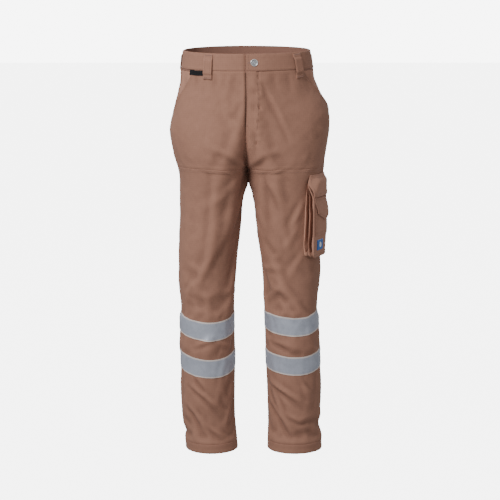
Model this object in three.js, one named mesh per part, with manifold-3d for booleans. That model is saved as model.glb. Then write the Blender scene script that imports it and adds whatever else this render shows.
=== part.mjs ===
// Work trousers for fire crews: waistband with belt loops, button and zip fly, two legs cut in
// front and back panels, reflective bands, slant hip pockets, rear pockets and one cargo pocket.
// Millimetres. +Z is up, the front faces -Y, and the wearer's left leg is on +X.
// The origin is the centre of the waist, level with the waistband's top edge at the sides.
// A "drop" is a distance below that edge. The garment's skin is a grid of stations round each
// side and of drops, and all that is sewn to it is sampled on the same grid.
import * as THREE from 'three';
import { LoftGeometry } from 'three/addons/geometries/LoftGeometry.js';
import { mergeVertices } from 'three/addons/utils/BufferGeometryUtils.js';
import Module from 'manifold-3d';

const wasm = await Module();
wasm.setup();

// Driving dimensions
const RISE = 318; // waist edge to crotch
const INSIDE_LEG = 760;
const OUTSEAM = RISE + INSIDE_LEG;
const CLOTH = 1.6; // wall of a leg panel with its seam allowances
const GAP = 0.3; // running clearance between two sewn pieces
const SLACK = 0.94; // the same where the cloth curves both ways
const BAND_HEIGHT = 46;
const BAND_PROUD = 0.9; // the waistband stands this far out of the legs' skin
const LINING = 1.0;
const LINING_DROP = 5; // the lining reaches this far below the band
const WAIST_TILT = 0.078; // rise of the waist edge per millimetre towards the back
const TILT_FADE = 200; // drop at which the tilt has gone
const THIGH_SEAM = 307; // drop of the seam across each front
const HEM_HEIGHT = 25;
const HEM_PROUD = 0.6;
const HEM_FOLD = 1; // what the turned-up cloth adds inside
const TAPE_WIDTH = 50;
const TAPE_EDGE = 3.5; // pale edge of the backing beside the reflective face
const TAPE_BACKING = 0.6;
const TAPE_FACE = 0.5;
const UPPER_TAPE = { left: 695, right: 704 }; // drop of each upper band's top edge
const TAPE_PITCH = { left: 107, right: 102 }; // from an upper band to the lower one

const LOOP_WIDTH = 25;
const LOOP_LENGTH = 64;
const LOOP_THICK = 1.6;
const LOOP_FOOT = 9;
const LOOP_BOW = 3.4; // free height of the loop's middle over its feet
const LOOP_RAMP = 6; // length over which a loop rises off its foot
const LOOP_TOP = 3; // drop of the upper foot
const LOOPS = [
  ['belt_loop_front_left', 'left', 0.6],
  ['belt_loop_front_right', 'right', 0.43],
  ['belt_loop_side_left', 'left', 1.16],
  ['belt_loop_side_right', 'right', 1.16],
  ['belt_loop_back_left', 'left', 1.58],
  ['belt_loop_back_right', 'right', 1.58],
];

const BUTTON_ACROSS = 21; // from the overlap's edge to the button
const BUTTON_DROP = 24;
const BUTTON_RADIUS = 9.6;
const BUTTON_RIM = 1.9;
const BUTTON_THICK = 3.6;
const BUTTON_DISH = 1.1;
const SHANK_RADIUS = 3.2;
const SHANK_FIT = 0.15; // radial clearance of the cap on its shank
const TACK_RADIUS = 5.5;
const TACK_THICK = 1.0;
const BUTTONHOLE_RADIUS = 4.2;
const ROUND = 32;

const UNDERLAP = { from: -30, to: 36, thick: 1.4, margin: 2 };

const ZIP_ACROSS = 15; // from the overlap's edge to the zip's middle
const ZIP_TOP = 54;
const ZIP_BOTTOM = 194;
const ZIP_BACK = 3.9; // from the skin to the facing
const FACING = { from: -13.5, to: 19, thick: 0.8 };
const PULL = { room: 1.5, thick: 0.8, width: 6, length: 24, below: 2, eye: 3, eyeLength: 6 };
const SLIDER = { width: 9, length: 12, below: 2, plate: 0.9, fit: 0.35, post: 0.7, side: 1 };
const TEETH = { inner: 0.7, outer: 2.7, thick: 2.4, below: 1, above: 8 };
const ZIP_TAPE = { thick: 0.6, edge: 13, fold: 4.5 };
const ZIP_TAPE_RIGHT_EDGE = 25;
const ZIP_STOP = { width: 7, length: 5, thick: 4.2, above: 1 };
const SHIELD = { from: -25, to: 17, thick: 1.0, gap: 0.5 };

const POCKET_TURN = 68; // degrees from the front round to the middle of the cargo pocket
const POCKET_CENTRE = { x: 110, y: 3 };
const POCKET_WIDTH = 146;
const POCKET_TOP = 345;
const POCKET_HEIGHT = 196;
const POCKET_FACE = 99; // from the pocket frame's axis to the outside of its face
const POCKET_WALL = 1.3;
const POCKET_CORNER = 13;
const FLAP_TOP = 323;
const FLAP_HEIGHT = 57;
const FLAP_WALL = 1.3;
const FLAP_KNEE = 16; // height over which the flap comes out to the touch tape
const FLAP_OVERHANG = 1.5;
const FLAP_BAND = 18; // height of the flap's root, sewn flat on the leg
const TOUCH_TAPE = { width: 96, height: 16, thick: 0.9, below: 8 };
const PHONE_FLAP = {
  from: -54,
  to: 70,
  top: 383,
  shoulder: 424, // drop at which its sides turn in to the point
  point: 445,
  taper: 12,
  swell: 4.5, // stands out this far over what the pocket holds
  wall: 1.1,
};
const PHONE_PATCH = { from: -46, to: 62, top: 396, height: 88, wall: 1.1 };
const BADGE = { from: 4, width: 42, top: 490, height: 27, thick: 0.7 };

const LABEL = { from: 0.52, to: 0.68, top: 51, height: 12, thick: 0.7 };
const HIP_MOUTH = { from: 0.6, end: 170 }; // station at the band, drop at the outseam
const MOUTH_CUT = 9; // half depth of the cutter that opens the mouth
const HIP_FACING = { from: 0.5, depth: 186, thick: 1.1 };
const HIP_BAG = { from: 0.375, depth: 270, thick: 1.2 };
const REAR_POCKET = { from: 1.25, to: 1.75, top: 116, height: 126, thick: 1.2 };
const REAR_FLAP = { top: 100, height: 50, thick: 1.2 };

const SIGN = { left: 1, right: -1 };
const STATIONS = 8; // to each of the front and the back of a side

const CLOTH_LOOK = { color: '#8c6f62', roughness: 0.9 };
const CLOTH_BACK_LOOK = { color: '#7a6357', roughness: 0.92 };
const LINING_LOOK = { color: '#83695c', roughness: 0.92 };
const REFLECTIVE_LOOK = { color: '#9a9ca4', roughness: 0.38, metalness: 0.25 };
const EDGE_LOOK = { color: '#e6ddd8', roughness: 0.8 };
const METAL_LOOK = { color: '#c9cbcd', roughness: 0.3, metalness: 1 };
const BRASS_LOOK = { color: '#8d7a52', roughness: 0.4, metalness: 1 };
const BLACK_LOOK = { color: '#151515', roughness: 0.7 };
const BLUE_LOOK = { color: '#0d68b8', roughness: 0.5 };

// Form of the garment. Each row: drop, reach of the left side from the seam plane, its half
// width, the same for the right side, half depth, middle's depth, shift of the seam plane, twist.
// A leg's half width is less than half its reach below the crotch, where the section closes.
const rise = (share) => RISE * share;
const leg = (share) => RISE + INSIDE_LEG * share;
const FORM = [
  [rise(0), 175.6, 175.6, 155.6, 155.6, 112, 0, -10, 3.7],
  [rise(0.2), 186.5, 186.5, 164.5, 164.5, 118, 1, -9.5, 3.7],
  [rise(0.5), 218.5, 195, 185.5, 165.6, 130, 5, -7, 3],
  [rise(0.67), 222.5, 173.8, 198.4, 155, 134, 8, -5.5, 2],
  [rise(0.85), 216.4, 133.6, 195.4, 120.6, 130, 8, -4, 1],
  [rise(0.94), 208, 111, 191, 102, 124, 7, -1, 0.3],
  [rise(1), 201, 100.3, 188.7, 94.2, 119, 6, 2, 0],
  [leg(0.04), 196, 96, 188.6, 92.2, 112, 5, 4, 0],
  [leg(0.107), 191.5, 88.6, 186.2, 85.6, 104, 4, 4, 0],
  [leg(0.19), 192.3, 85.4, 188.7, 84.3, 98, 3, 4, 0],
  [leg(0.34), 191.5, 77.5, 186.4, 76.5, 88, 0, 4, 0],
  [leg(0.447), 187.1, 72.7, 184.9, 73.2, 82, -3, 4, 0],
  [leg(0.664), 193.3, 73.1, 182.9, 73.1, 78, 0, 4, 0],
  [leg(0.886), 194.6, 70.5, 175.8, 69.4, 76, 5, 4, 0],
  [leg(1), 199.9, 74, 170.4, 70.5, 76, 8, 4, 0],
];

// Where each outseam lies on its side, in degrees from the front: drop, left, right.
const OUTSEAM_TURN = [
  [rise(0), 90, 90],
  [rise(0.67), 90, 90],
  [rise(1), 70, 90],
  [leg(0.19), 68, 90],
  [leg(0.34), 75, 90],
  [leg(1), 80, 90],
];

function table(rows) {
  const drops = rows.map((row) => row[0]);
  const values = rows.flatMap((row) => row.slice(1));
  return new THREE.CubicInterpolant(drops, values, rows[0].length - 1);
}

const formTable = table(FORM);
const turnTable = table(OUTSEAM_TURN);

// The drops at which the skin has a row of points, those of everything sewn to it among them.
const tapeDrops = Object.keys(SIGN).flatMap((side) => {
  const tops = [UPPER_TAPE[side], UPPER_TAPE[side] + TAPE_PITCH[side]];
  return tops.flatMap((top) => [top, top + TAPE_WIDTH]);
});
const pocketDrops = [HIP_FACING.depth, HIP_BAG.depth, REAR_FLAP.top, REAR_FLAP.top + REAR_FLAP.height];
const rearDrops = [REAR_POCKET.top, REAR_POCKET.top + REAR_POCKET.height];
const flapDrops = [FLAP_TOP, FLAP_TOP + FLAP_BAND];
const plainDrops = [0.63, 0.67, 0.71, 0.94].map(rise);
const legDrops = [leg(0.06), leg(0.107), leg(0.19), leg(0.34), leg(0.42), leg(0.8), leg(0.9)];
const ROWS = [0, BAND_HEIGHT, THIGH_SEAM, RISE, OUTSEAM - HEM_HEIGHT, OUTSEAM]
  .concat(plainDrops, legDrops, tapeDrops, pocketDrops, rearDrops, flapDrops)
  .sort((a, b) => a - b)
  .filter((drop, i, all) => i === 0 || drop - all[i - 1] > 1e-6);

function section(side, drop) {
  const [leftReach, leftHalf, rightReach, rightHalf, depth, middle, shift, twist] = [
    ...formTable.evaluate(drop),
  ];
  const [leftTurn, rightTurn] = [...turnTable.evaluate(drop)];
  const left = side === 'left';
  const half = left ? leftHalf : rightHalf;
  const centre = (left ? leftReach : rightReach) - half;
  return {
    half,
    centre: drop >= RISE ? Math.max(centre, half) : centre,
    depth,
    middle,
    shift,
    twist: THREE.MathUtils.degToRad(twist),
    outseam: THREE.MathUtils.degToRad(left ? leftTurn : rightTurn),
  };
}

// Angle from the front of the station u: 0 at the centre front or inseam, 1 at the outseam,
// 2 at the centre back or inseam.
function angleAt(s, u) {
  const cut = -Math.asin(Math.min(1, s.centre / s.half));
  if (u <= 1) return THREE.MathUtils.lerp(cut, s.outseam, u);
  return THREE.MathUtils.lerp(s.outseam, Math.PI - cut, u - 1);
}

// The station that lies a distance across from the seam plane, on the front.
function stationAcross(side, drop, across) {
  const s = section(side, drop);
  const cut = -Math.asin(Math.min(1, s.centre / s.half));
  const angle = Math.asin((across - s.centre) / s.half);
  return (angle - cut) / (s.outseam - cut);
}

function smoothPoint(side, u, drop, offset) {
  const s = section(side, drop);
  const angle = angleAt(s, u);
  const normal = new THREE.Vector2(Math.sin(angle) / s.half, -Math.cos(angle) / s.depth);
  normal.normalize();
  const across = GAP / 2 + s.centre + s.half * Math.sin(angle) + offset * normal.x;
  const back = s.middle - s.depth * Math.cos(angle) + offset * normal.y;
  const flat = new THREE.Vector2(SIGN[side] * across, back);
  flat.rotateAround(new THREE.Vector2(), s.twist);
  const fade = Math.max(0, 1 - drop / TILT_FADE);
  return new THREE.Vector3(s.shift + flat.x, flat.y, WAIST_TILT * flat.y * fade - drop);
}

const gridCache = new Map();
function gridPoint(side, i, drop, offset) {
  const key = [side, i, drop, offset].join();
  if (!gridCache.has(key)) gridCache.set(key, smoothPoint(side, i / STATIONS, drop, offset));
  return gridCache.get(key);
}

function stationPoint(side, u, drop, offset) {
  const i = Math.min(Math.max(Math.floor(u * STATIONS), 0), 2 * STATIONS - 1);
  const from = gridPoint(side, i, drop, offset);
  return from.clone().lerp(gridPoint(side, i + 1, drop, offset), u * STATIONS - i);
}

// A point on the faceted skin, moved out by the offset.
function skin(side, u, drop, offset = 0) {
  const below = ROWS.findIndex((row) => row >= drop - 1e-6);
  const row = ROWS[Math.max(below, 1)];
  const above = ROWS[Math.max(below, 1) - 1];
  const share = (drop - above) / (row - above);
  return stationPoint(side, u, above, offset).lerp(stationPoint(side, u, row, offset), share);
}

function between(values, from, to) {
  return [from, ...values.filter((v) => v > from + 1e-3 && v < to - 1e-3), to];
}

const gridStations = Array.from({ length: 2 * STATIONS + 1 }, (_, i) => i / STATIONS);

function asSolid(geometry, matrix) {
  const bare = new THREE.BufferGeometry();
  bare.setAttribute('position', geometry.getAttribute('position').clone());
  bare.setIndex(geometry.index);
  if (matrix) bare.applyMatrix4(matrix);
  const merged = mergeVertices(bare, 1e-4);
  const triVerts = new Uint32Array(merged.index.array);
  const vertProperties = merged.attributes.position.array;
  const solid = new wasm.Manifold(new wasm.Mesh({ numProp: 3, vertProperties, triVerts }));
  if (solid.volume() > 0) return solid;
  for (let i = 0; i < triVerts.length; i += 3) triVerts.subarray(i, i + 2).reverse();
  return new wasm.Manifold(new wasm.Mesh({ numProp: 3, vertProperties, triVerts }));
}

function asGeometry(solid) {
  const mesh = solid.getMesh();
  const positions = new THREE.BufferAttribute(Float32Array.from(mesh.vertProperties), 3);
  const geometry = new THREE.BufferGeometry().setAttribute('position', positions);
  geometry.setIndex(new THREE.BufferAttribute(Uint32Array.from(mesh.triVerts), 1));
  geometry.computeVertexNormals();
  return geometry;
}

// The area vector of a section, which points to the side it is counterclockwise from.
function sectionNormal(points) {
  const normal = new THREE.Vector3();
  points.forEach((point, i) => {
    const next = points[(i + 1) % points.length];
    normal.add(new THREE.Vector3().crossVectors(point, next));
  });
  return normal;
}

function middleOf(points) {
  const sum = points.reduce((total, point) => total.add(point), new THREE.Vector3());
  return sum.divideScalar(points.length);
}

// A solid skinned over its sections, which are turned round where they run the wrong way.
function loft(sections) {
  const ahead = middleOf(sections.at(-1)).sub(middleOf(sections[0]));
  const turnedRound = sectionNormal(sections[0]).dot(ahead) < 0;
  const ordered = sections.map((points) => (turnedRound ? [...points].reverse() : points));
  return asSolid(new LoftGeometry(ordered, { capStart: true, capEnd: true }));
}

// A patch of cloth on the skin between two stations and two drops, from one offset to another.
function patch(side, [from, to], [top, bottom], [inner, outer]) {
  const line = between(gridStations, from, to);
  const sections = between(ROWS, top, bottom).map((drop) => {
    const outside = line.map((u) => skin(side, u, drop, outer));
    const inside = line.map((u) => skin(side, u, drop, inner)).reverse();
    return [...outside, ...inside];
  });
  return loft(sections);
}

// A closed band of cloth round one leg.
function ring(side, [top, bottom], [inner, outer]) {
  const sections = gridStations.slice(0, -1).map((u) => [
    skin(side, u, top, outer),
    skin(side, u, bottom, outer),
    skin(side, u, bottom, inner),
    skin(side, u, top, inner),
  ]);
  return asSolid(new LoftGeometry([...sections, sections[0]]));
}

// Frame whose x runs across, y out of the cloth and z up along it.
function clothFrame(origin, across, up) {
  const x = across.clone().normalize();
  const y = new THREE.Vector3().crossVectors(up, x).normalize();
  const z = new THREE.Vector3().crossVectors(x, y);
  return new THREE.Matrix4().makeBasis(x, y, z).setPosition(origin);
}

function block([x0, x1], [y0, y1], [z0, z1]) {
  const geometry = new THREE.BoxGeometry(x1 - x0, y1 - y0, z1 - z0);
  return asSolid(geometry.translate((x0 + x1) / 2, (y0 + y1) / 2, (z0 + z1) / 2));
}

// An outline of [x, z] points, extruded in y.
function plate(outline, [y0, y1]) {
  const shape = new THREE.Shape(outline.map(([x, z]) => new THREE.Vector2(x, z)));
  const geometry = new THREE.ExtrudeGeometry(shape, { depth: y1 - y0, bevelEnabled: false });
  geometry.applyMatrix4(new THREE.Matrix4().makeRotationX(Math.PI / 2));
  return asSolid(geometry.translate(0, y1, 0));
}

// A round piece about y from its [radius, y] profile.
function turned(profile) {
  const points = profile.map(([radius, y]) => new THREE.Vector2(radius, y));
  return asSolid(new THREE.LatheGeometry(points, ROUND));
}

const trousers = new THREE.Group();
trousers.name = 'work_trousers';

function add(name, solid, look, parent = trousers) {
  const mesh = new THREE.Mesh(asGeometry(solid), new THREE.MeshStandardMaterial(look));
  mesh.name = name;
  parent.add(mesh);
}

function framedGroup(matrix) {
  const group = new THREE.Group();
  matrix.decompose(group.position, group.quaternion, group.scale);
  trousers.add(group);
  return group;
}

// Half of the clearance in a seam, as a share of the narrowest panel's width.
const NARROWEST_PANEL = 120;
const SEAM = GAP / 2 / NARROWEST_PANEL;

// The cut-out of a slant pocket's mouth, from its station at the band to the outseam.
function hipMouth(side) {
  const steps = 6;
  const past = 1.03;
  const sections = [BAND_HEIGHT - 2, HIP_MOUTH.end / 2, HIP_MOUTH.end].map((drop) => {
    const share = (drop - BAND_HEIGHT) / (HIP_MOUTH.end - BAND_HEIGHT);
    const from = THREE.MathUtils.lerp(HIP_MOUTH.from, 1, share);
    const shares = Array.from({ length: steps + 1 }, (_, i) => i / steps);
    const line = shares.map((along) => THREE.MathUtils.lerp(from, past, along));
    return [
      ...line.map((u) => smoothPoint(side, u, drop, MOUTH_CUT)),
      ...line.reverse().map((u) => smoothPoint(side, u, drop, -MOUTH_CUT)),
    ];
  });
  return loft(sections);
}

// Legs: an upper and a lower front panel and one back panel to each side.
for (const side of Object.keys(SIGN)) {
  const wall = [-CLOTH, 0];
  const top = BAND_HEIGHT + GAP;
  const bottom = OUTSEAM - HEM_HEIGHT - GAP;
  const hemWall = [-CLOTH - HEM_FOLD, HEM_PROUD];
  const front = [SEAM, 1 - SEAM];
  const upper = patch(side, front, [top, THIGH_SEAM - GAP / 2], wall).subtract(hipMouth(side));
  add('front_upper_' + side, upper, CLOTH_LOOK);
  add('front_lower_' + side, patch(side, front, [THIGH_SEAM + GAP / 2, bottom], wall), CLOTH_LOOK);
  add('back_' + side, patch(side, [1 + SEAM, 2 - SEAM], [top, bottom], wall), CLOTH_LOOK);
  add('hem_' + side, ring(side, [OUTSEAM - HEM_HEIGHT, OUTSEAM], hemWall), CLOTH_LOOK);
}

// Reflective bands: a pale backing strip with the reflective face on it.
for (const side of Object.keys(SIGN)) {
  for (const [place, top] of [
    ['upper', UPPER_TAPE[side]],
    ['lower', UPPER_TAPE[side] + TAPE_PITCH[side]],
  ]) {
    const backing = [GAP, GAP + TAPE_BACKING];
    const face = [backing[1] + GAP, backing[1] + GAP + TAPE_FACE];
    const edges = [top + TAPE_EDGE, top + TAPE_WIDTH - TAPE_EDGE];
    add(`tape_backing_${place}_${side}`, ring(side, [top, top + TAPE_WIDTH], backing), EDGE_LOOK);
    add(`reflective_tape_${place}_${side}`, ring(side, edges, face), REFLECTIVE_LOOK);
  }
}

// Waistband, its lining and the underlap that carries the button.
const liningOut = -CLOTH - GAP;
const underlapOut = liningOut - LINING - GAP;
const buttonStation = stationAcross('left', BUTTON_DROP, BUTTON_ACROSS);
const buttonPoint = skin('left', buttonStation, BUTTON_DROP, BAND_PROUD);
const buttonSide = skin('left', buttonStation + 0.02, BUTTON_DROP, BAND_PROUD).sub(buttonPoint);
const bandUp = skin('left', buttonStation, 1).sub(skin('left', buttonStation, BAND_HEIGHT - 1));
const buttonFrame = clothFrame(buttonPoint, buttonSide.negate(), bandUp);
const pastBand = 14; // half depth of what cuts a hole through the band and all behind it

function holeAtButton(radius) {
  return turned([
    [0, -pastBand],
    [radius, -pastBand],
    [radius, pastBand],
    [0, pastBand],
  ]).transform(buttonFrame.elements);
}
const buttonhole = holeAtButton(BUTTONHOLE_RADIUS);

for (const side of Object.keys(SIGN)) {
  const span = [SEAM, 2 - SEAM];
  const band = patch(side, span, [0, BAND_HEIGHT], [-CLOTH, BAND_PROUD]);
  const lining = patch(side, span, [1, BAND_HEIGHT + LINING_DROP], [liningOut - LINING, liningOut]);
  const holed = (solid) => (side === 'left' ? solid.subtract(buttonhole) : solid);
  add('waistband_' + side, holed(band), CLOTH_LOOK);
  add('waistband_lining_' + side, holed(lining), LINING_LOOK);
}

const underlapWall = [underlapOut - UNDERLAP.thick, underlapOut];
const underlapDrops = [UNDERLAP.margin, BAND_HEIGHT - UNDERLAP.margin];
const underlapPart = (side, reach) => {
  const station = stationAcross(side, BUTTON_DROP, reach);
  return patch(side, [-SEAM, station], underlapDrops, underlapWall);
};
// The short stretch of underlap across the seam plane.
function underlapBridge() {
  const sections = between(ROWS, ...underlapDrops).map((drop) => [
    skin('left', SEAM, drop, underlapWall[1]),
    skin('left', SEAM, drop, underlapWall[0]),
    skin('right', SEAM, drop, underlapWall[0]),
    skin('right', SEAM, drop, underlapWall[1]),
  ]);
  return loft(sections);
}

const underlap = underlapPart('left', UNDERLAP.to)
  .add(underlapPart('right', -UNDERLAP.from))
  .add(underlapBridge())
  .subtract(holeAtButton(SHANK_RADIUS + GAP));

add('waistband_underlap', underlap, LINING_LOOK);

// Button: a dished cap that turns on the shank of a tack.
const capBack = 0.5;
const capBore = 2.2; // depth of the blind bore in the cap's back
const capEdge = 0.8; // bevel of the rim
const shankTip = capBack + capBore - GAP;
const underlapBack = BAND_PROUD - underlapWall[0];
const buttonGroup = framedGroup(buttonFrame);
add('button_cap', turned([
  [0, capBack + capBore],
  [SHANK_RADIUS + SHANK_FIT, capBack + capBore],
  [SHANK_RADIUS + SHANK_FIT, capBack],
  [BUTTON_RADIUS - capEdge, capBack],
  [BUTTON_RADIUS, capBack + capEdge],
  [BUTTON_RADIUS, capBack + BUTTON_THICK - capEdge],
  [BUTTON_RADIUS - capEdge, capBack + BUTTON_THICK],
  [BUTTON_RADIUS - BUTTON_RIM, capBack + BUTTON_THICK],
  [BUTTON_RADIUS - BUTTON_RIM - capEdge, capBack + BUTTON_THICK - BUTTON_DISH],
  [0, capBack + BUTTON_THICK - BUTTON_DISH],
]), METAL_LOOK, buttonGroup);
add('button_tack', turned([
  [0, -underlapBack - GAP - TACK_THICK],
  [TACK_RADIUS, -underlapBack - GAP - TACK_THICK],
  [TACK_RADIUS, -underlapBack - GAP],
  [SHANK_RADIUS, -underlapBack - GAP],
  [SHANK_RADIUS, shankTip],
  [0, shankTip],
]), BRASS_LOOK, buttonGroup);

// Belt loops: a strap whose two feet are sewn down, above and below the band.
function loopStrap() {
  const bow = LOOP_BOW + LOOP_THICK / 2;
  const line = [
    [0, LOOP_THICK / 2],
    [LOOP_FOOT, LOOP_THICK / 2],
    [LOOP_FOOT + LOOP_RAMP, 0.85 * bow],
    [LOOP_LENGTH / 2, bow],
    [LOOP_LENGTH - LOOP_FOOT - LOOP_RAMP, 0.85 * bow],
    [LOOP_LENGTH - LOOP_FOOT, LOOP_THICK / 2],
    [LOOP_LENGTH, LOOP_THICK / 2],
  ];
  const face = (shift) => line.map(([down, out]) => [out + shift, -down]);
  const sections = [-LOOP_WIDTH / 2, LOOP_WIDTH / 2].map((x) =>
    [...face(LOOP_THICK / 2), ...face(-LOOP_THICK / 2).reverse()].map(
      ([out, up]) => new THREE.Vector3(x, out, up)
    )
  );
  return loft(sections);
}

function loopFrame(side, station) {
  const top = skin(side, station, LOOP_TOP, BAND_PROUD + GAP);
  const foot = skin(side, station, LOOP_TOP + LOOP_LENGTH, GAP);
  const beside = skin(side, station + 0.02, LOOP_TOP, BAND_PROUD);
  const across = beside.sub(skin(side, station, LOOP_TOP, BAND_PROUD));
  return clothFrame(top, across.multiplyScalar(-SIGN[side]), top.clone().sub(foot));
}

for (const [name, side, station] of LOOPS) {
  add(name, loopStrap(), CLOTH_LOOK, framedGroup(loopFrame(side, station)));
}
const backTop = skin('left', 2, LOOP_TOP, BAND_PROUD + GAP);
const backFoot = skin('left', 2, LOOP_TOP + LOOP_LENGTH, GAP);
const backAcross = skin('left', 2, LOOP_TOP).sub(skin('right', 2, LOOP_TOP));
const backFrame = clothFrame(backTop, backAcross, backTop.clone().sub(backFoot));
add('belt_loop_centre_back', loopStrap(), CLOTH_LOOK, framedGroup(backFrame));

// Zip fly, in a flat frame behind the left front's overlap.
const zipHead = skin('left', stationAcross('left', ZIP_TOP, ZIP_ACROSS), ZIP_TOP);
const zipFoot = skin('left', stationAcross('left', ZIP_BOTTOM, ZIP_ACROSS), ZIP_BOTTOM);
const zipUp = zipHead.clone().sub(zipFoot);
const zipLength = zipUp.length();
const acrossAt = (drop) => {
  const from = skin('left', stationAcross('left', drop, ZIP_ACROSS - 8), drop);
  return from.sub(skin('left', stationAcross('left', drop, ZIP_ACROSS + 8), drop)).normalize();
};
const zipAcross = acrossAt(ZIP_TOP).add(acrossAt(ZIP_BOTTOM));
const zipFrame = clothFrame(zipHead, zipAcross, zipUp);
const fly = framedGroup(zipFrame);
// In this frame x runs towards the wearer's right, so what lies on the wearer's left is below 0.
const facingBack = -ZIP_BACK - FACING.thick;
const pullBack = facingBack - PULL.room - PULL.thick;
const sliderFront = pullBack - GAP;
const teethFront = sliderFront - SLIDER.plate - SLIDER.fit;
const teethBack = teethFront - TEETH.thick;
const sliderBack = teethBack - SLIDER.fit - SLIDER.plate;
const zipTapeFront = (teethFront + teethBack + ZIP_TAPE.thick) / 2;
const zipTapeBack = zipTapeFront - ZIP_TAPE.thick;
const shieldFront = sliderBack - SHIELD.gap;

const full = [-zipLength, 0];
const teethSpan = [-zipLength + TEETH.above, -TEETH.below];
const teethWall = [teethBack, teethFront];
const tapeWall = [zipTapeBack, zipTapeFront];
const tapeInner = TEETH.outer + GAP;

add('fly_facing', block([-FACING.to, -FACING.from], [facingBack, -ZIP_BACK], full), LINING_LOOK, fly);
add('zip_teeth_left', block([-TEETH.outer, -TEETH.inner], teethWall, teethSpan), BRASS_LOOK, fly);
add('zip_teeth_right', block([TEETH.inner, TEETH.outer], teethWall, teethSpan), BRASS_LOOK, fly);

// Each zip tape turns up at its far edge, where it is sewn to the facing or to the right front.
const leftTape = block([-ZIP_TAPE.edge, -tapeInner], tapeWall, full).add(
  block([-ZIP_TAPE.edge, ZIP_TAPE.fold - ZIP_TAPE.edge], [zipTapeBack, facingBack - GAP], full)
);
add('zip_tape_left', leftTape, LINING_LOOK, fly);
const rightFold = [ZIP_TAPE_RIGHT_EDGE - ZIP_TAPE.fold, ZIP_TAPE_RIGHT_EDGE];
const rightTape = block([tapeInner, ZIP_TAPE_RIGHT_EDGE], tapeWall, full).add(
  block(rightFold, [shieldFront + GAP, GAP - ZIP_BACK], full)
);
add('zip_tape_right', rightTape, LINING_LOOK, fly);
const shieldWall = [shieldFront - SHIELD.thick, shieldFront];
add('fly_shield', block([-SHIELD.to, -SHIELD.from], shieldWall, full), LINING_LOOK, fly);

const stopSpan = [-zipLength + ZIP_STOP.above, -zipLength + ZIP_STOP.above + ZIP_STOP.length];
const stopBack = (teethFront + teethBack - ZIP_STOP.thick) / 2;
const stopBar = [-ZIP_STOP.width / 2, ZIP_STOP.width / 2];
const stopKey = block([-TEETH.inner, TEETH.inner], [zipTapeBack - 2 * GAP, zipTapeFront], stopSpan);
const stop = block(stopBar, [stopBack, zipTapeBack - GAP], stopSpan).add(stopKey);
add('zip_bottom_stop', stop, BRASS_LOOK, fly);

const sliderHalf = SLIDER.width / 2;
const sliderSpan = [-SLIDER.below - SLIDER.length, -SLIDER.below];
const sliderSide = [zipTapeFront + SLIDER.fit, sliderFront];
const slider = block([-sliderHalf, sliderHalf], [sliderFront - SLIDER.plate, sliderFront], sliderSpan)
  .add(block([-sliderHalf, sliderHalf], [sliderBack, sliderBack + SLIDER.plate], sliderSpan))
  .add(block([-SLIDER.post / 2, SLIDER.post / 2], [sliderBack, sliderFront], sliderSpan))
  .add(block([-sliderHalf, SLIDER.side - sliderHalf], sliderSide, sliderSpan))
  .add(block([sliderHalf - SLIDER.side, sliderHalf], sliderSide, sliderSpan));
add('zip_slider', slider, BRASS_LOOK, fly);

const pullTop = -SLIDER.below - PULL.below;
const pullFoot = pullTop - PULL.length;
const pullHalf = PULL.width / 2;
const pullWall = [pullBack, pullBack + PULL.thick];
const eye = block(
  [-PULL.eye / 2, PULL.eye / 2],
  [pullBack - PULL.thick, pullBack + 2 * PULL.thick],
  [pullFoot + PULL.eye, pullFoot + PULL.eye + PULL.eyeLength]
);
const pull = block([-pullHalf, pullHalf], pullWall, [pullFoot, pullTop]).subtract(eye);
add('zip_pull', pull, BRASS_LOOK, fly);

// Slant hip pockets: the facing shows in the mouth, and the bag hangs behind the front.
for (const side of Object.keys(SIGN)) {
  const facingOut = -CLOTH - SLACK;
  const facingTop = BAND_HEIGHT + LINING_DROP + GAP;
  const bagOut = facingOut - HIP_FACING.thick - SLACK;
  const facingWall = [facingOut - HIP_FACING.thick, facingOut];
  const facing = patch(side, [HIP_FACING.from, 1 - SEAM], [facingTop, HIP_FACING.depth], facingWall);
  add('hip_pocket_facing_' + side, facing, CLOTH_BACK_LOOK);
  const bagWall = [bagOut - HIP_BAG.thick, bagOut];
  const bag = patch(side, [HIP_BAG.from, 1 - SEAM], [facingTop, HIP_BAG.depth], bagWall);
  add('hip_pocket_bag_' + side, bag, LINING_LOOK);
}

// Rear patch pockets, each under its flap.
for (const side of Object.keys(SIGN)) {
  const pocketOut = SLACK + REAR_POCKET.thick;
  const flapIn = pocketOut + SLACK;
  const span = [REAR_POCKET.from, REAR_POCKET.to];
  const flapSpan = [REAR_FLAP.top, REAR_FLAP.top + REAR_FLAP.height];
  add('rear_pocket_' + side, patch(side, span, rearDrops, [SLACK, pocketOut]), CLOTH_BACK_LOOK);
  const rearFlap = patch(side, span, flapSpan, [flapIn, flapIn + REAR_FLAP.thick]);
  add('rear_flap_' + side, rearFlap, CLOTH_BACK_LOOK);
}

const labelDrops = [LABEL.top, LABEL.top + LABEL.height];
const label = patch('right', [LABEL.from, LABEL.to], labelDrops, [GAP, GAP + LABEL.thick]);
add('side_label', label, BLACK_LOOK);

// Cargo pocket on the left leg, in a frame whose x runs to the front and y out of the pocket.
const cargo = new THREE.Group();
cargo.position.set(POCKET_CENTRE.x, POCKET_CENTRE.y, 0);
cargo.rotation.z = THREE.MathUtils.degToRad(POCKET_TURN) - Math.PI;
trousers.add(cargo);
cargo.updateMatrix();
const toCargo = cargo.matrix.clone().invert();

// The space inside the leg's skin, moved out by the offset.
function core(side, drops, offset) {
  const sections = between(ROWS, ...drops).map((drop) =>
    gridStations.slice(0, -1).map((u) => skin(side, u, drop, offset))
  );
  return loft(sections);
}
const corePast = 20;
const coreDrops = [FLAP_TOP - corePast, POCKET_TOP + POCKET_HEIGHT + corePast];
const legCore = core('left', coreDrops, GAP).transform(toCargo.elements);

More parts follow.
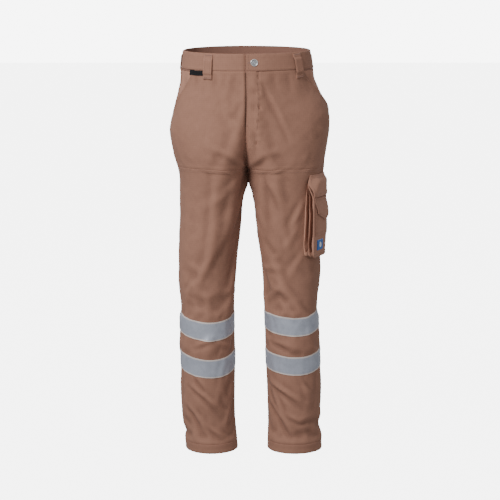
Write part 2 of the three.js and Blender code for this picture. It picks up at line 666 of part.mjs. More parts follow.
// The pocket's outline, moved in by the inset and its top edge up by the extra.
function pocketOutline(inset, extra) {
  const x = POCKET_WIDTH / 2 - inset;
  const top = -POCKET_TOP + extra;
  const bottom = -POCKET_TOP - POCKET_HEIGHT + inset;
  return [
    [-x, top],
    [-x, bottom + POCKET_CORNER],
    [-x + POCKET_CORNER, bottom],
    [x - POCKET_CORNER, bottom],
    [x, bottom + POCKET_CORNER],
    [x, top],
  ];
}
const pocketRoot = 45; // inside the leg, which is then cut away
const pocketHollow = plate(pocketOutline(POCKET_WALL, 10), [pocketRoot - 5, POCKET_FACE - POCKET_WALL]);
const tray = plate(pocketOutline(0, 0), [pocketRoot, POCKET_FACE])
  .subtract(pocketHollow)
  .subtract(legCore);
add('cargo_pocket', tray, CLOTH_BACK_LOOK, cargo);

// Touch tape: one strip on the pocket's face, one in the flap.
const hookFront = POCKET_FACE + GAP + TOUCH_TAPE.thick;
const loopFront = hookFront + GAP + TOUCH_TAPE.thick;
const flapInside = loopFront + GAP;
const touchTop = -POCKET_TOP - TOUCH_TAPE.below;
const touchSpan = [touchTop - TOUCH_TAPE.height, touchTop];
const touchWidth = [-TOUCH_TAPE.width / 2, TOUCH_TAPE.width / 2];
const hookTape = block(touchWidth, [POCKET_FACE + GAP, hookFront], touchSpan);
add('cargo_hook_tape', hookTape, BLACK_LOOK, cargo);
const loopTape = block(touchWidth, [hookFront + GAP, loopFront], touchSpan);
add('cargo_loop_tape', loopTape, BLACK_LOOK, cargo);

// The flap's root follows the leg. The flap itself hangs from a straight hinge line at the
// root's outermost point, in front of the pocket.
const pocketSide = block([-POCKET_WIDTH / 2, POCKET_WIDTH / 2], [0, 2 * POCKET_FACE], [-POCKET_TOP, 0]);
const root = patch('left', [0, 2 - SEAM], flapDrops, [GAP, GAP + FLAP_WALL])
  .transform(toCargo.elements)
  .intersect(pocketSide)
  .subtract(legCore);
add('cargo_flap_root', root, CLOTH_BACK_LOOK, cargo);

const flapRoot = root.boundingBox().max[1] + GAP;
const flapKnee = -FLAP_TOP - FLAP_KNEE;
const flapFoot = -FLAP_TOP - FLAP_HEIGHT;
const flapReach = POCKET_WIDTH / 2 + FLAP_OVERHANG;
const flapProfile = [
  [flapRoot, -FLAP_TOP],
  [flapInside, flapKnee],
  [flapInside, flapFoot],
  [flapInside + FLAP_WALL, flapFoot],
  [flapInside + FLAP_WALL, flapKnee],
  [flapRoot + FLAP_WALL, -FLAP_TOP],
];
const flapEnds = [-flapReach, flapReach].map((x) =>
  flapProfile.map(([y, z]) => new THREE.Vector3(x, y, z))
);
add('cargo_flap', loft(flapEnds), CLOTH_BACK_LOOK, cargo);

// Phone pocket on the cargo pocket's face, under a pointed flap of its own.
const onFace = POCKET_FACE + GAP;
const phonePocket = block(
  [PHONE_PATCH.from, PHONE_PATCH.to],
  [onFace, onFace + PHONE_PATCH.wall],
  [-PHONE_PATCH.top - PHONE_PATCH.height, -PHONE_PATCH.top]
);
add('phone_pocket', phonePocket, CLOTH_BACK_LOOK, cargo);

function phoneFlap() {
  const centre = (PHONE_FLAP.from + PHONE_FLAP.to) / 2;
  const outline = [
    [PHONE_FLAP.from, -PHONE_FLAP.top],
    [PHONE_FLAP.from + PHONE_FLAP.taper, -PHONE_FLAP.shoulder],
    [centre, -PHONE_FLAP.point],
    [PHONE_FLAP.to - PHONE_FLAP.taper, -PHONE_FLAP.shoulder],
    [PHONE_FLAP.to, -PHONE_FLAP.top],
  ];
  const out = onFace + PHONE_FLAP.swell;
  const middle = -THREE.MathUtils.lerp(PHONE_FLAP.top, PHONE_FLAP.shoulder, 0.7);
  const past = 5; // what the profile runs on past the outline that trims it
  const side = [
    [onFace, -PHONE_FLAP.top],
    [onFace, -PHONE_FLAP.top - 2],
    [out, middle],
    [out, -PHONE_FLAP.point - past],
    [out + PHONE_FLAP.wall, -PHONE_FLAP.point - past],
    [out + PHONE_FLAP.wall, middle],
    [onFace + PHONE_FLAP.wall, -PHONE_FLAP.top],
  ];
  const sections = [PHONE_FLAP.from - past, PHONE_FLAP.to + past].map((x) =>
    side.map(([y, z]) => new THREE.Vector3(x, y, z))
  );
  return loft(sections).intersect(plate(outline, [onFace - past, out + past]));
}
add('phone_flap', phoneFlap(), CLOTH_BACK_LOOK, cargo);
const badge = block(
  [BADGE.from, BADGE.from + BADGE.width],
  [onFace, onFace + BADGE.thick],
  [-BADGE.top - BADGE.height, -BADGE.top]
);
add('badge', badge, BLUE_LOOK, cargo);

export default trousers;
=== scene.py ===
"""Work trousers with reflective bands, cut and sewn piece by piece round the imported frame."""
import math

import bpy
import numpy as np
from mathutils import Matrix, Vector


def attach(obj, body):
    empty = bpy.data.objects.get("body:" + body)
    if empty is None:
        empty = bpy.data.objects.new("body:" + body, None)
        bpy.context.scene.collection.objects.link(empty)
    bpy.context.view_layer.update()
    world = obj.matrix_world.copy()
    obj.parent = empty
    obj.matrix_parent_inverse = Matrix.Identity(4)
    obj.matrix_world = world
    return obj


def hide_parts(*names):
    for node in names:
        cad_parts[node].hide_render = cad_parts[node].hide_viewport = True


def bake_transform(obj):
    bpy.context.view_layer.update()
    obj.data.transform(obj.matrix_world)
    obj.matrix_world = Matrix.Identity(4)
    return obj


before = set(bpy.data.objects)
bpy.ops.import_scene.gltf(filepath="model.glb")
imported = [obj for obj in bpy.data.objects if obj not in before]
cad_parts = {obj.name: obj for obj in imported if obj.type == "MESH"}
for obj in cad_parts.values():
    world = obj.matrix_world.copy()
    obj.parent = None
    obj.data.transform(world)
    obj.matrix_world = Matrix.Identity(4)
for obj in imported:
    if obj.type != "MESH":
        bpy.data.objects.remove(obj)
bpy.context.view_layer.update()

bl_info = {
    "name": "Work trousers",
    "version": (1, 0, 0),
    "blender": (4, 5, 0),
    "location": "3D View > Sidebar > Trousers",
    "description": "Cuts and sews brown work trousers with reflective bands and a cargo pocket",
    "category": "Add Mesh",
}

# Lengths below are millimetres, and MM turns them into metres when a mesh is made.
# +Z is up, the front faces -Y, and the wearer's left is +X. A "drop" is measured down from the
# waist's top edge. Across a side, the station u is 0 at the centre front or inseam, 1 at the
# outseam and 2 at the centre back or inseam.
MM = 0.001
RISE = 318
INSIDE_LEG = 760
OUTSEAM = RISE + INSIDE_LEG
BAND_HEIGHT = 46
BAND_PROUD = 0.9
WAIST_TILT = 0.078
TILT_FADE = 200
THIGH_SEAM = 307
HEM_HEIGHT = 25
MOUTH_FOOT = 170
HIP_POCKET_TOP, HIP_FACING_FOOT, HIP_BAG_FOOT = 51.5, 186, 270
REAR_POCKET = (1.25, 1.75, 116, 242)  # first and last station, top and foot
REAR_FLAP = (1.25, 1.75, 98, 150)
SIDE_LABEL = (0.46, 0.672, 47, 60)
FLY_WIDTH, FLY_TURN = 31.0, 215  # the fly's stitched flap, and the drop where its curve begins
TAPE_WIDTH = 50
UPPER_TAPE = {"left": 695, "right": 704}
TAPE_PITCH = {"left": 107, "right": 102}
SIDES = {"left": 1, "right": -1}


def rise(share):
    return RISE * share


def leg(share):
    return RISE + INSIDE_LEG * share


# Drop, reach and half width of the left side, the same of the right, half depth, the middle's
# depth, shift of the seam plane, twist in degrees.
FORM = [
    (rise(0), 175.6, 175.6, 155.6, 155.6, 112, 0, -10, 3.7),
    (rise(0.2), 186.5, 186.5, 164.5, 164.5, 118, 1, -9.5, 3.7),
    (rise(0.5), 218.5, 195, 185.5, 165.6, 130, 5, -7, 3),
    (rise(0.67), 222.5, 173.8, 198.4, 155, 134, 8, -5.5, 2),
    (rise(0.85), 216.4, 133.6, 195.4, 120.6, 130, 8, -4, 1),
    (rise(0.94), 208, 111, 191, 102, 124, 7, -1, 0.3),
    (rise(1), 201, 100.3, 188.7, 94.2, 119, 6, 2, 0),
    (leg(0.04), 196, 96, 188.6, 92.2, 112, 5, 4, 0),
    (leg(0.107), 191.5, 88.6, 186.2, 85.6, 104, 4, 4, 0),
    (leg(0.19), 192.3, 85.4, 188.7, 84.3, 98, 3, 4, 0),
    (leg(0.34), 191.5, 77.5, 186.4, 76.5, 88, 0, 4, 0),
    (leg(0.447), 187.1, 72.7, 184.9, 73.2, 82, -3, 4, 0),
    (leg(0.664), 193.3, 73.1, 182.9, 73.1, 78, 0, 4, 0),
    (leg(0.886), 194.6, 70.5, 175.8, 69.4, 76, 5, 4, 0),
    (leg(1), 199.9, 74, 170.4, 70.5, 76, 8, 4, 0),
]
# Drop, then where the left and the right outseam lie, in degrees from the front.
OUTSEAM_TURN = [
    (rise(0), 90, 90),
    (rise(0.67), 90, 90),
    (rise(1), 70, 90),
    (leg(0.19), 68, 90),
    (leg(0.34), 75, 90),
    (leg(1), 80, 90),
]

# Creases of the worn cloth: a line of (x, drop) points on the front, width, height, and the
# lean, which is how much of the crease is a step from a ridge to a hollow beside it.
FRONT_CREASES = [
    # right shin
    ([(-150, 893), (-112, 925), (-72, 965)], 9, 5.0, 0.9),
    ([(-140, 862), (-108, 906)], 8, 3.6, 0.8),
    ([(-154, 955), (-135, 985), (-116, 1018)], 9, 4.6, 0.9),
    ([(-104, 1005), (-58, 1044)], 8, 3.4, 0.8),
    ([(-60, 905), (-42, 955), (-40, 1000)], 10, 3.2, -0.7),
    # left shin
    ([(66, 888), (105, 912), (145, 941)], 9, 5.0, 0.9),
    ([(72, 908), (100, 966)], 8, 3.4, -0.8),
    ([(64, 948), (92, 985), (118, 1032)], 9, 5.0, 0.9),
    ([(108, 972), (140, 990), (170, 982)], 8, 3.2, 0.8),
    ([(150, 880), (178, 925)], 9, 3.4, -0.8),
    ([(-104, 650), (-99, 760), (-103, 850)], 17, 4.5, 0.0),
    ([(122, 700), (118, 860)], 17, 3.0, 0.0),
    # knees
    ([(58, 655), (88, 631), (122, 655)], 12, 3.4, 0.7),
    ([(42, 580), (70, 573), (94, 580)], 11, 2.6, 0.7),
    ([(-150, 640), (-105, 652), (-60, 640)], 14, 2.2, 0.6),
    ([(-165, 560), (-120, 590)], 15, 2.4, 0.7),
    # between the bands
    ([(-134, 782), (-88, 762)], 8, 3.0, 0.8),
    ([(70, 772), (115, 786)], 9, 2.4, 0.7),
    ([(-70, 768), (-40, 786)], 8, 2.0, -0.7),
    # thighs
    ([(56, 345), (80, 385), (104, 432)], 12, 3.6, 0.8),
    ([(44, 330), (47, 410), (45, 498)], 12, 3.6, -0.9),
    ([(141, 398), (120, 440), (98, 484)], 11, 4.0, 0.8),
    ([(130, 452), (90, 524)], 12, 3.2, 0.8),
    ([(150, 520), (120, 560), (100, 600)], 13, 2.6, 0.8),
    ([(-90, 470), (-108, 545), (-126, 630)], 16, 3.6, 0.4),
    ([(-40, 340), (-52, 420), (-62, 500)], 15, 3.0, 0.8),
    ([(-30, 330), (-70, 372), (-120, 400)], 14, 2.4, 0.7),
    # front of the hips
    ([(26, 84), (23, 150), (25, 262)], 6, 1.6, 0.9),
    ([(46, 88), (80, 158), (114, 234)], 9, 2.2, 0.9),
    ([(10, 300), (46, 272), (90, 262)], 12, 2.8, 0.8),
    ([(-10, 300), (-50, 270), (-95, 258)], 12, 2.8, -0.8),
    ([(-14, 110), (-16, 200), (-8, 280)], 10, 1.4, 0.6),
]
BACK_CREASES = [
    ([(-150, 560), (-100, 585), (-50, 560)], 11, 4.0, 0.9),
    ([(-160, 610), (-105, 632), (-45, 605)], 11, 4.6, 0.9),
    ([(-150, 655), (-105, 668), (-60, 655)], 11, 3.2, 0.8),
    ([(55, 565), (105, 585), (160, 560)], 11, 4.0, 0.9),
    ([(50, 612), (105, 630), (165, 606)], 11, 4.6, 0.9),
    ([(70, 655), (110, 668), (150, 655)], 11, 3.2, 0.8),
    ([(8, 300), (60, 322), (130, 330)], 13, 4.4, 0.9),
    ([(-8, 300), (-60, 322), (-130, 330)], 13, 4.4, 0.9),
    ([(12, 335), (60, 365), (110, 385)], 14, 3.4, 0.8),
    ([(-12, 335), (-60, 365), (-110, 385)], 14, 3.4, 0.8),
    ([(20, 60), (26, 140), (12, 240)], 14, 2.2, 0.6),
    ([(-20, 60), (-26, 140), (-12, 240)], 14, 2.2, -0.6),
    ([(70, 890), (110, 925), (150, 950)], 10, 4.0, 0.9),
    ([(65, 960), (105, 990), (150, 1000)], 10, 4.0, 0.9),
    ([(-150, 895), (-110, 925), (-70, 948)], 10, 4.0, -0.9),
    ([(-145, 970), (-105, 992), (-60, 1002)], 10, 4.0, 0.9),
]

ROW_STEP = 4.5
COLUMNS = 136  # steps of the worn skin round one side
SETTLE_STEP = 2  # the simulated cloth has every second line of the skin
MOST_SETTLE = 5.0
EDGE_LINES = np.array([0, 0.7, 1.8, 4.5, 7.8, 9.8])  # lines kept beside a sewn edge
CLOTH_THICK = 1.2


def settings():
    return bpy.context.scene.work_trousers


# ---------------------------------------------------------------- the worn skin


def smooth_rows(rows, drops):
    """Values of a table between its rows, on a cubic curve through them."""
    knots = np.array([row[0] for row in rows], float)
    values = np.array([row[1:] for row in rows], float)
    last = len(knots) - 1
    after = np.clip(np.searchsorted(knots, drops, side="right"), 1, last)
    before = after - 1
    t0, t1 = knots[before], knots[after]
    past_start = before == 0
    past_end = after == last
    previous = np.where(past_start, after, before - 1)
    t_previous = np.where(past_start, t1, knots[np.maximum(before - 1, 0)])
    following = np.where(past_end, before, np.minimum(after + 1, last))
    t_following = np.where(past_end, t0, knots[np.minimum(after + 1, last)])
    half = (t1 - t0) / 2
    wp = (half / (t0 - t_previous))[:, None]
    wn = (half / (t_following - t1))[:, None]
    p = ((drops - t0) / (t1 - t0))[:, None]
    pp, ppp = p * p, p * p * p
    return (
        (-wp * ppp + 2 * wp * pp - wp * p) * values[previous]
        + ((1 + wp) * ppp + (-1.5 - 2 * wp) * pp + (-0.5 + wp) * p + 1) * values[before]
        + ((-1 - wn) * ppp + (1.5 + wn) * pp + 0.5 * p) * values[after]
        + (wn * ppp - wn * pp) * values[following]
    )


def smoothstep(low, high, value):
    t = np.clip((value - low) / (high - low), 0, 1)
    return t * t * (3 - 2 * t)


def arc_lengths(points, axis=1):
    """Distance run along each row of a grid of points, or with axis 0 down each column."""
    steps = np.linalg.norm(np.diff(points, axis=axis), axis=2)
    return np.insert(np.cumsum(steps, axis), 0, 0, axis)


def between(grid, row, column):
    """Values of a grid at rows and columns that lie between its points."""
    r = np.minimum(row.astype(int), grid.shape[0] - 2)
    c = np.minimum(column.astype(int), grid.shape[1] - 2)
    down, across = row - r, column - c
    if grid.ndim == 3:
        down, across = down[..., None], across[..., None]
    upper = grid[r, c] * (1 - across) + grid[r, c + 1] * across
    lower = grid[r + 1, c] * (1 - across) + grid[r + 1, c + 1] * across
    return upper * (1 - down) + lower * down


def hump(value, width):
    """A soft hump, 1 high where the value is 0 and gone about two widths away."""
    return np.exp(-((value / width) ** 2))


def bare_points(side, u, drop):
    """Points and outward directions of the form under the cloth, before creases."""
    form = smooth_rows(FORM, drop)
    left = side == "left"
    reach, half = form[:, 0 if left else 2], form[:, 1 if left else 3]
    depth, middle, shift = form[:, 4], form[:, 5], form[:, 6]
    twist = np.radians(form[:, 7])
    outseam = np.radians(smooth_rows(OUTSEAM_TURN, drop)[:, 0 if left else 1])
    centre = reach - half
    centre = np.where(drop >= RISE, np.maximum(centre, half), centre)
    cut = -np.arcsin(np.minimum(1, centre / half))
    angle = np.where(
        u <= 1, cut + (outseam - cut) * u, outseam + (math.pi - cut - outseam) * (u - 1)
    )
    out = np.stack([np.sin(angle) / half, -np.cos(angle) / depth], -1)
    out /= np.linalg.norm(out, axis=1)[:, None]
    across = SIDES[side] * (centre + half * np.sin(angle))
    back = middle - depth * np.cos(angle)
    out[:, 0] *= SIDES[side]
    c, s = np.cos(twist), np.sin(twist)
    fade = np.maximum(0, 1 - drop / TILT_FADE)
    y = across * s + back * c
    points = np.stack([shift + across * c - back * s, y, WAIST_TILT * y * fade - drop], -1)
    flat = np.stack([out[:, 0] * c - out[:, 1] * s, out[:, 0] * s + out[:, 1] * c], -1)
    return points, np.concatenate([flat, np.zeros((len(u), 1))], 1)


def crease_height(x, drop, creases):
    """Height of the creases over each point of a face seen straight on."""
    total = np.zeros_like(x)
    for line, width, height, lean in creases:
        best = np.full(x.shape, 1e9)
        signed = np.zeros_like(x)
        along = np.zeros_like(x)
        spans = list(zip(line[:-1], line[1:]))
        for i, (a, b) in enumerate(spans):
            a, b = np.array(a, float), np.array(b, float)
            d = b - a
            t = np.clip(((x - a[0]) * d[0] + (drop - a[1]) * d[1]) / (d @ d), 0, 1)
            px, pz = x - a[0] - t * d[0], drop - a[1] - t * d[1]
            distance = np.hypot(px, pz)
            nearer = distance < best
            best = np.where(nearer, distance, best)
            turn = (d[0] * pz - d[1] * px) / np.hypot(*d)
            signed = np.where(nearer, turn, signed)
            along = np.where(nearer, (i + t) / len(spans), along)
        taper = np.sin(math.pi * np.clip(0.08 + 0.84 * along, 0, 1)) ** 0.8
        wide = width * (0.75 + 0.5 * along)
        near = hump(best, wide)
        step = -signed / wide * np.exp(0.5 - (signed / wide) ** 2) * 1.16
        ends = hump(np.maximum(best - np.abs(signed), 0), wide)
        shape = (1 - abs(lean)) * near + lean * step * ends
        total += height * taper * shape
    return total


def ripples(arc, drop, seed, low, high, count):
    """Soft uneven waves over the cloth, the same on every run."""
    draw = np.random.default_rng(seed)
    total = np.zeros_like(arc)
    for _ in range(count):
        wave = draw.uniform(low, high)
        turn = draw.uniform(0, math.pi)
        phase = draw.uniform(0, 2 * math.pi)
        bend = draw.uniform(0.2, 0.6) * np.sin(drop / draw.uniform(60, 160) + phase)
        total += (wave / high) * np.sin(
            2 * math.pi * (arc * math.cos(turn) + drop * math.sin(turn)) / wave + phase + bend
        )
    return total / math.sqrt(count)


def grid_normals(points, out):
    """Unit normals of a grid of points, on the side that out lies on."""
    down = np.gradient(points, axis=0)
    across = np.gradient(points, axis=1)
    normal = np.cross(down, across)
    normal /= np.maximum(np.linalg.norm(normal, axis=2), 1e-9)[..., None]
    facing = np.sign((normal * out).sum(2))
    return normal * np.where(facing == 0, 1, facing)[..., None]


def stiffness_at(side, drop):
    """How far the cloth keeps its creases: less under the band, the tapes and in the hem."""
    keep = 0.12 + 0.88 * smoothstep(BAND_HEIGHT, BAND_HEIGHT + 60, drop)
    for top in (UPPER_TAPE[side], UPPER_TAPE[side] + TAPE_PITCH[side]):
        middle = top + TAPE_WIDTH / 2
        keep = keep * (1 - 0.6 * np.exp(-(((drop - middle) / (TAPE_WIDTH * 0.62)) ** 4)))
    return keep * (1 - 0.45 * smoothstep(OUTSEAM - 60, OUTSEAM - HEM_HEIGHT, drop))


class Skin:
    """The worn cloth of one side as a fine grid of points and normals."""

    def __init__(self, side):
        self.side = side
        self.drops = np.linspace(0, OUTSEAM, round(OUTSEAM / ROW_STEP) + 1)
        self.stations = np.linspace(0, 2, COLUMNS + 1)
        drop, u = np.meshgrid(self.drops, self.stations, indexing="ij")
        points, out = bare_points(side, u.ravel(), drop.ravel())
        shape = (*drop.shape, 3)
        self.out = out.reshape(shape)
        self.bare = self.forked(points.reshape(shape), drop)
        normal = grid_normals(self.bare, self.out)
        height = self.worn_height(u, drop, normal)
        worn = self.bare + normal * height[..., None]
        lift = settle(side, worn, normal, drop)
        height = height + lift
        worn = self.bare + normal * height[..., None]
        self.points = worn
        self.normals = grid_normals(worn, self.out)
        # The cloth's height against its neighbourhood: above 0 on ridges, which the finish lightens as
        # rubbed, and below 0 in hollows, which it darkens as painted shade.
        wide = box_blur(height, 4)
        self.wear_and_shade = np.clip((height - wide) / 1.6, -1, 1)

    def worn_height(self, u, drop, normal):
        x = self.bare[..., 0]
        arc = arc_lengths(self.bare)
        front = smoothstep(0.05, 0.45, -normal[..., 1])
        back = smoothstep(0.05, 0.45, normal[..., 1])
        seed = 11 if self.side == "left" else 12
        waves = 0.8 * ripples(arc, drop, seed, 60, 150, 22)
        fine = 0.35 * ripples(arc, drop, seed + 4, 22, 48, 26)
        inner = np.minimum(arc, arc[:, -1:] - arc)
        waves = (waves + fine) * smoothstep(0, 34, inner)
        height = waves + front * crease_height(x, drop, FRONT_CREASES)
        height += back * crease_height(x, drop, BACK_CREASES)
        height = height * settings().crease_depth * stiffness_at(self.side, drop)
        return height

    def forked(self, points, drop):
        """Presses in the fold that runs down to the crotch, and lets the legs meet under it."""
        arc = arc_lengths(points)
        inner = np.minimum(arc, arc[:, -1:] - arc)
        spread = 12 if self.side == "right" else 7
        run = smoothstep(100, RISE - 48, drop) * (1 - smoothstep(RISE, RISE + 42, drop))
        points[..., 1] += 14 * run * hump(arc, spread)
        outer = smoothstep(110, 180, np.abs(points[..., 0]))
        hip, thigh = (10.5, 6) if self.side == "left" else (6.5, 6)
        full = hip * hump(drop - 165, 75) + thigh * hump(drop - 600, 75)
        points[..., 0] += SIDES[self.side] * full * outer
        meet = smoothstep(RISE - 10, RISE + 10, drop) * (1 - smoothstep(RISE + 16, RISE + 60, drop))
        points[..., 0] -= SIDES[self.side] * 5.8 * meet * hump(inner, 46)
        return points

    def _mix(self, grid, u, drop):
        row = np.clip(np.asarray(drop, float) / OUTSEAM, 0, 1) * (len(self.drops) - 1)
        column = np.clip(np.asarray(u, float) / 2, 0, 1) * COLUMNS
        return between(grid, row, column)

    def normal(self, u, drop):
        found = self._mix(self.normals, u, drop)
        return found / np.linalg.norm(found, axis=-1)[..., None]

    def at(self, u, drop, offset=0.0):
        out = np.asarray(offset, float)[..., None] if np.ndim(offset) else offset
        return self._mix(self.points, u, drop) + self.normal(u, drop) * out

    # Ridges above 0 mean rubbing; hollows below 0 carry painted shade.
    def worn(self, u, drop):
        return self._mix(self.wear_and_shade, u, drop)


def box_blur(grid, reach):
    """Mean over a square of neighbours, edges repeated."""
    padded = np.pad(grid, reach, mode="edge")
    total = np.zeros_like(grid)
    span = 2 * reach + 1
    for i in range(span):
        for j in range(span):
            total += padded[i : i + grid.shape[0], j : j + grid.shape[1]]
    return total / span**2


def settle(side, worn, normal, drop):
    """Lets the cloth buckle between its seams, and returns how far it moved in or out."""
    rows = list(range(0, worn.shape[0] - 1, SETTLE_STEP)) + [worn.shape[0] - 1]
    coarse = worn[rows][:, ::SETTLE_STEP] * MM
    n_rows, n_columns = coarse.shape[:2]
    index = np.arange(n_rows * n_columns).reshape(n_rows, n_columns)
    quads = np.stack([index[:-1, :-1], index[1:, :-1], index[1:, 1:], index[:-1, 1:]], -1)
    mesh = bpy.data.meshes.new("settling_cloth")
    mesh.from_pydata(coarse.reshape(-1, 3).tolist(), [], quads.reshape(-1, 4).tolist())
    cloth = bpy.data.objects.new("settling_cloth", mesh)
    bpy.context.scene.collection.objects.link(cloth)
    held = np.full((n_rows, n_columns), 0.02)
    held[:, [0, 1, -2, -1]] = 1
    held[: int(BAND_HEIGHT / ROW_STEP / SETTLE_STEP) + 2] = 1
    held[-4:] = 1
    coarse_drop = drop[rows][:, ::SETTLE_STEP]
    for top in (UPPER_TAPE[side], UPPER_TAPE[side] + TAPE_PITCH[side]):
        inside = (coarse_drop > top - 3) & (coarse_drop < top + TAPE_WIDTH + 3)
        held[inside] = np.maximum(held[inside], 0.35)
    pins = cloth.vertex_groups.new(name="sewn")
    for value in np.unique(held):
        pins.add(np.flatnonzero(held.ravel() == value).tolist(), float(value), "REPLACE")
    modifier = cloth.modifiers.new("cloth", "CLOTH")
    cloth_settings = modifier.settings
    cloth_settings.quality = 6
    cloth_settings.mass = 0.25
    cloth_settings.tension_stiffness = 20
    cloth_settings.compression_stiffness = 12
    cloth_settings.shear_stiffness = 6
    cloth_settings.bending_stiffness = 0.6
    cloth_settings.shrink_min = -settings().cloth_ease
    cloth_settings.vertex_group_mass = "sewn"
    cloth_settings.use_pressure = True
    cloth_settings.uniform_pressure_force = 0.6
    cloth_settings.effector_weights.gravity = 0.6
    modifier.collision_settings.use_collision = False
    frames = settings().settle_frames
    modifier.point_cache.frame_start = 1
    modifier.point_cache.frame_end = frames
    scene = bpy.context.scene
    for number in range(1, frames + 1):
        scene.frame_set(number)
    depsgraph = bpy.context.evaluated_depsgraph_get()
    shaped = cloth.evaluated_get(depsgraph).data
    moved = np.empty(n_rows * n_columns * 3)
    shaped.vertices.foreach_get("co", moved)
    moved = moved.reshape(coarse.shape)
    scene.frame_set(1)
    bpy.data.objects.remove(cloth)
    bpy.data.meshes.remove(mesh)
    lift = ((moved - coarse) / MM * normal[rows][:, ::SETTLE_STEP]).sum(2)
    lift = MOST_SETTLE * np.tanh(lift / MOST_SETTLE)
    fine_rows = np.interp(np.arange(worn.shape[0]), rows, np.arange(n_rows))
    fine_columns = np.interp(
        np.arange(worn.shape[1]), np.arange(n_columns) * SETTLE_STEP, np.arange(n_columns)
    )
    return box_blur(between(lift, fine_rows[:, None], fine_columns[None, :]), 1)


_skins = {}


def skin_of(side):
    if side not in _skins:
        _skins[side] = Skin(side)
    return _skins[side]


# ---------------------------------------------------------------- cloth pieces


class Sewn:
    """Collects the closed surfaces of one piece, in millimetres, and makes its mesh."""

    CLOTH, THREAD = 0, 1

    def __init__(self):
        self.points, self.faces, self.uvs, self.wear_and_shade, self.kinds = [], [], [], [], []
        self.count = 0

    def take(self, points, faces, uv, wear_and_shade, kind):
        """Adds one closed surface, turned so that its faces look out."""
        points = np.asarray(points, float)
        volume = 0.0
        for face in faces:
            a, b, c = (points[face[:, k]] for k in range(3))
            volume += np.einsum("ij,ij->i", a, np.cross(b, c)).sum()
            if face.shape[1] == 4:
                volume += np.einsum("ij,ij->i", a, np.cross(c, points[face[:, 3]])).sum()
        for face in faces:
            turned = face[:, ::-1] if volume < 0 else face
            self.faces += (turned + self.count).tolist()
            self.kinds += [kind] * len(face)
        self.points.append(points)
        self.uvs.append(uv)
        self.wear_and_shade.append(wear_and_shade)
        self.count += len(points)

    def slab(self, outer, inner, uv=None, wear_and_shade=None, kind=CLOTH):
        """A sheet of cloth between two grids of points."""
        rows, columns = outer.shape[:2]
        count = rows * columns
        index = np.arange(count).reshape(rows, columns)
        face = np.stack([index[:-1, :-1], index[1:, :-1], index[1:, 1:], index[:-1, 1:]], -1)
        face = face.reshape(-1, 4)
        loop = np.concatenate(
            [index[0, :-1], index[:-1, -1], index[-1, :0:-1], index[:0:-1, 0]]
        )
        after = np.roll(loop, -1)
        rim = np.stack([loop, after, after + count, loop + count], -1)
        faces = [np.concatenate([face, face[:, ::-1] + count, rim])]
        if uv is None:
            uv = grid_uv(outer)
        uv = uv.reshape(-1, 2)
        wear_and_shade = np.zeros(count) if wear_and_shade is None else wear_and_shade.ravel()
        points = np.concatenate([outer.reshape(-1, 3), inner.reshape(-1, 3)])
        self.take(points, faces, np.concatenate([uv, uv]), np.concatenate([wear_and_shade, wear_and_shade]), kind)

    def stitches(self, path, normals, pitch=3.3, length=2.5, radius=0.34, kind=THREAD):
        """A row of lockstitches along a path, each a short thread that dips in at its ends."""
        path, normals = np.asarray(path, float), np.asarray(normals, float)
        steps = np.linalg.norm(np.diff(path, axis=0), axis=1)
        along = np.concatenate([[0], np.cumsum(steps)])
        if along[-1] < pitch:
            return
        marks = np.arange(pitch / 2, along[-1] - pitch / 3, pitch)
        pick = lambda values, at: np.stack([np.interp(at, along, values[:, k]) for k in range(3)], -1)
        middle, start, end = pick(path, marks), pick(path, marks - 0.5), pick(path, marks + 0.5)
        normal = pick(normals, marks)
        tangent = end - start
        tangent /= np.maximum(np.linalg.norm(tangent, axis=1), 1e-9)[:, None]
        normal -= (normal * tangent).sum(1)[:, None] * tangent
        normal /= np.maximum(np.linalg.norm(normal, axis=1), 1e-9)[:, None]
        self.spindles(middle, tangent, normal, length, radius, kind)

    def spindles(self, middle, tangent, normal, length, radius, kind=THREAD):
        beside = np.cross(tangent, normal)
        sides = 5
        turn = np.arange(sides) * 2 * math.pi / sides
        ring = (
            np.cos(turn)[None, :, None] * normal[:, None]
            + np.sin(turn)[None, :, None] * beside[:, None]
        ) * radius
        sink = normal[:, None] * radius * 0.9
        half = tangent[:, None] * length / 2
        centre = middle[:, None]
        points = np.concatenate(
            [centre - half - sink, centre - half * 0.55 + ring, centre + half * 0.55 + ring,
             centre + half - sink], 1
        )
        size = points.shape[1]
        k = np.arange(sides)
        after = (k + 1) % sides
        first = np.stack([np.zeros(sides, int), 1 + k, 1 + after], -1)
        wall = np.stack([1 + k, 1 + sides + k, 1 + sides + after, 1 + after], -1)
        final = np.stack([np.full(sides, size - 1), 1 + sides + after, 1 + sides + k], -1)
        shift = (np.arange(len(middle)) * size)[:, None, None]
        threes = np.concatenate([first, final])
        faces = [(threes[None] + shift).reshape(-1, 3), (wall[None] + shift).reshape(-1, 4)]
        flat = points.reshape(-1, 3)
        uv = np.stack([flat[:, 0] + flat[:, 1], flat[:, 2]], -1) * MM
        self.take(flat, faces, uv, np.zeros(len(flat)), kind)

    def turned(self, profile, origin, x, y, z, segments=48, kind=CLOTH):
        """A round closed piece about the axis y, from its [radius, y] profile."""
        profile = np.array(profile, float)
        turn = np.arange(segments) * 2 * math.pi / segments
        circle = np.cos(turn)[:, None] * x + np.sin(turn)[:, None] * z
        rings = origin + profile[1:-1, None, :1] * circle[None] + profile[1:-1, None, 1:] * y
        count = len(profile) - 2
        points = np.concatenate(
            [[origin + profile[0, 1] * y], rings.reshape(-1, 3), [origin + profile[-1, 1] * y]]
        )
        k = np.arange(segments)
        after = (k + 1) % segments
        walls = []
        for i in range(count - 1):
            a, b = 1 + i * segments, 1 + (i + 1) * segments
            walls.append(np.stack([a + k, a + after, b + after, b + k], -1))
        last = 1 + (count - 1) * segments
        caps = np.concatenate([
            np.stack([np.zeros(segments, int), 1 + after, 1 + k], -1),
            np.stack([np.full(segments, len(points) - 1), last + k, last + after], -1),
        ])
        uv = points[:, [0, 2]] * MM
        self.take(points, [np.concatenate(walls), caps], uv, np.zeros(len(points)), kind)

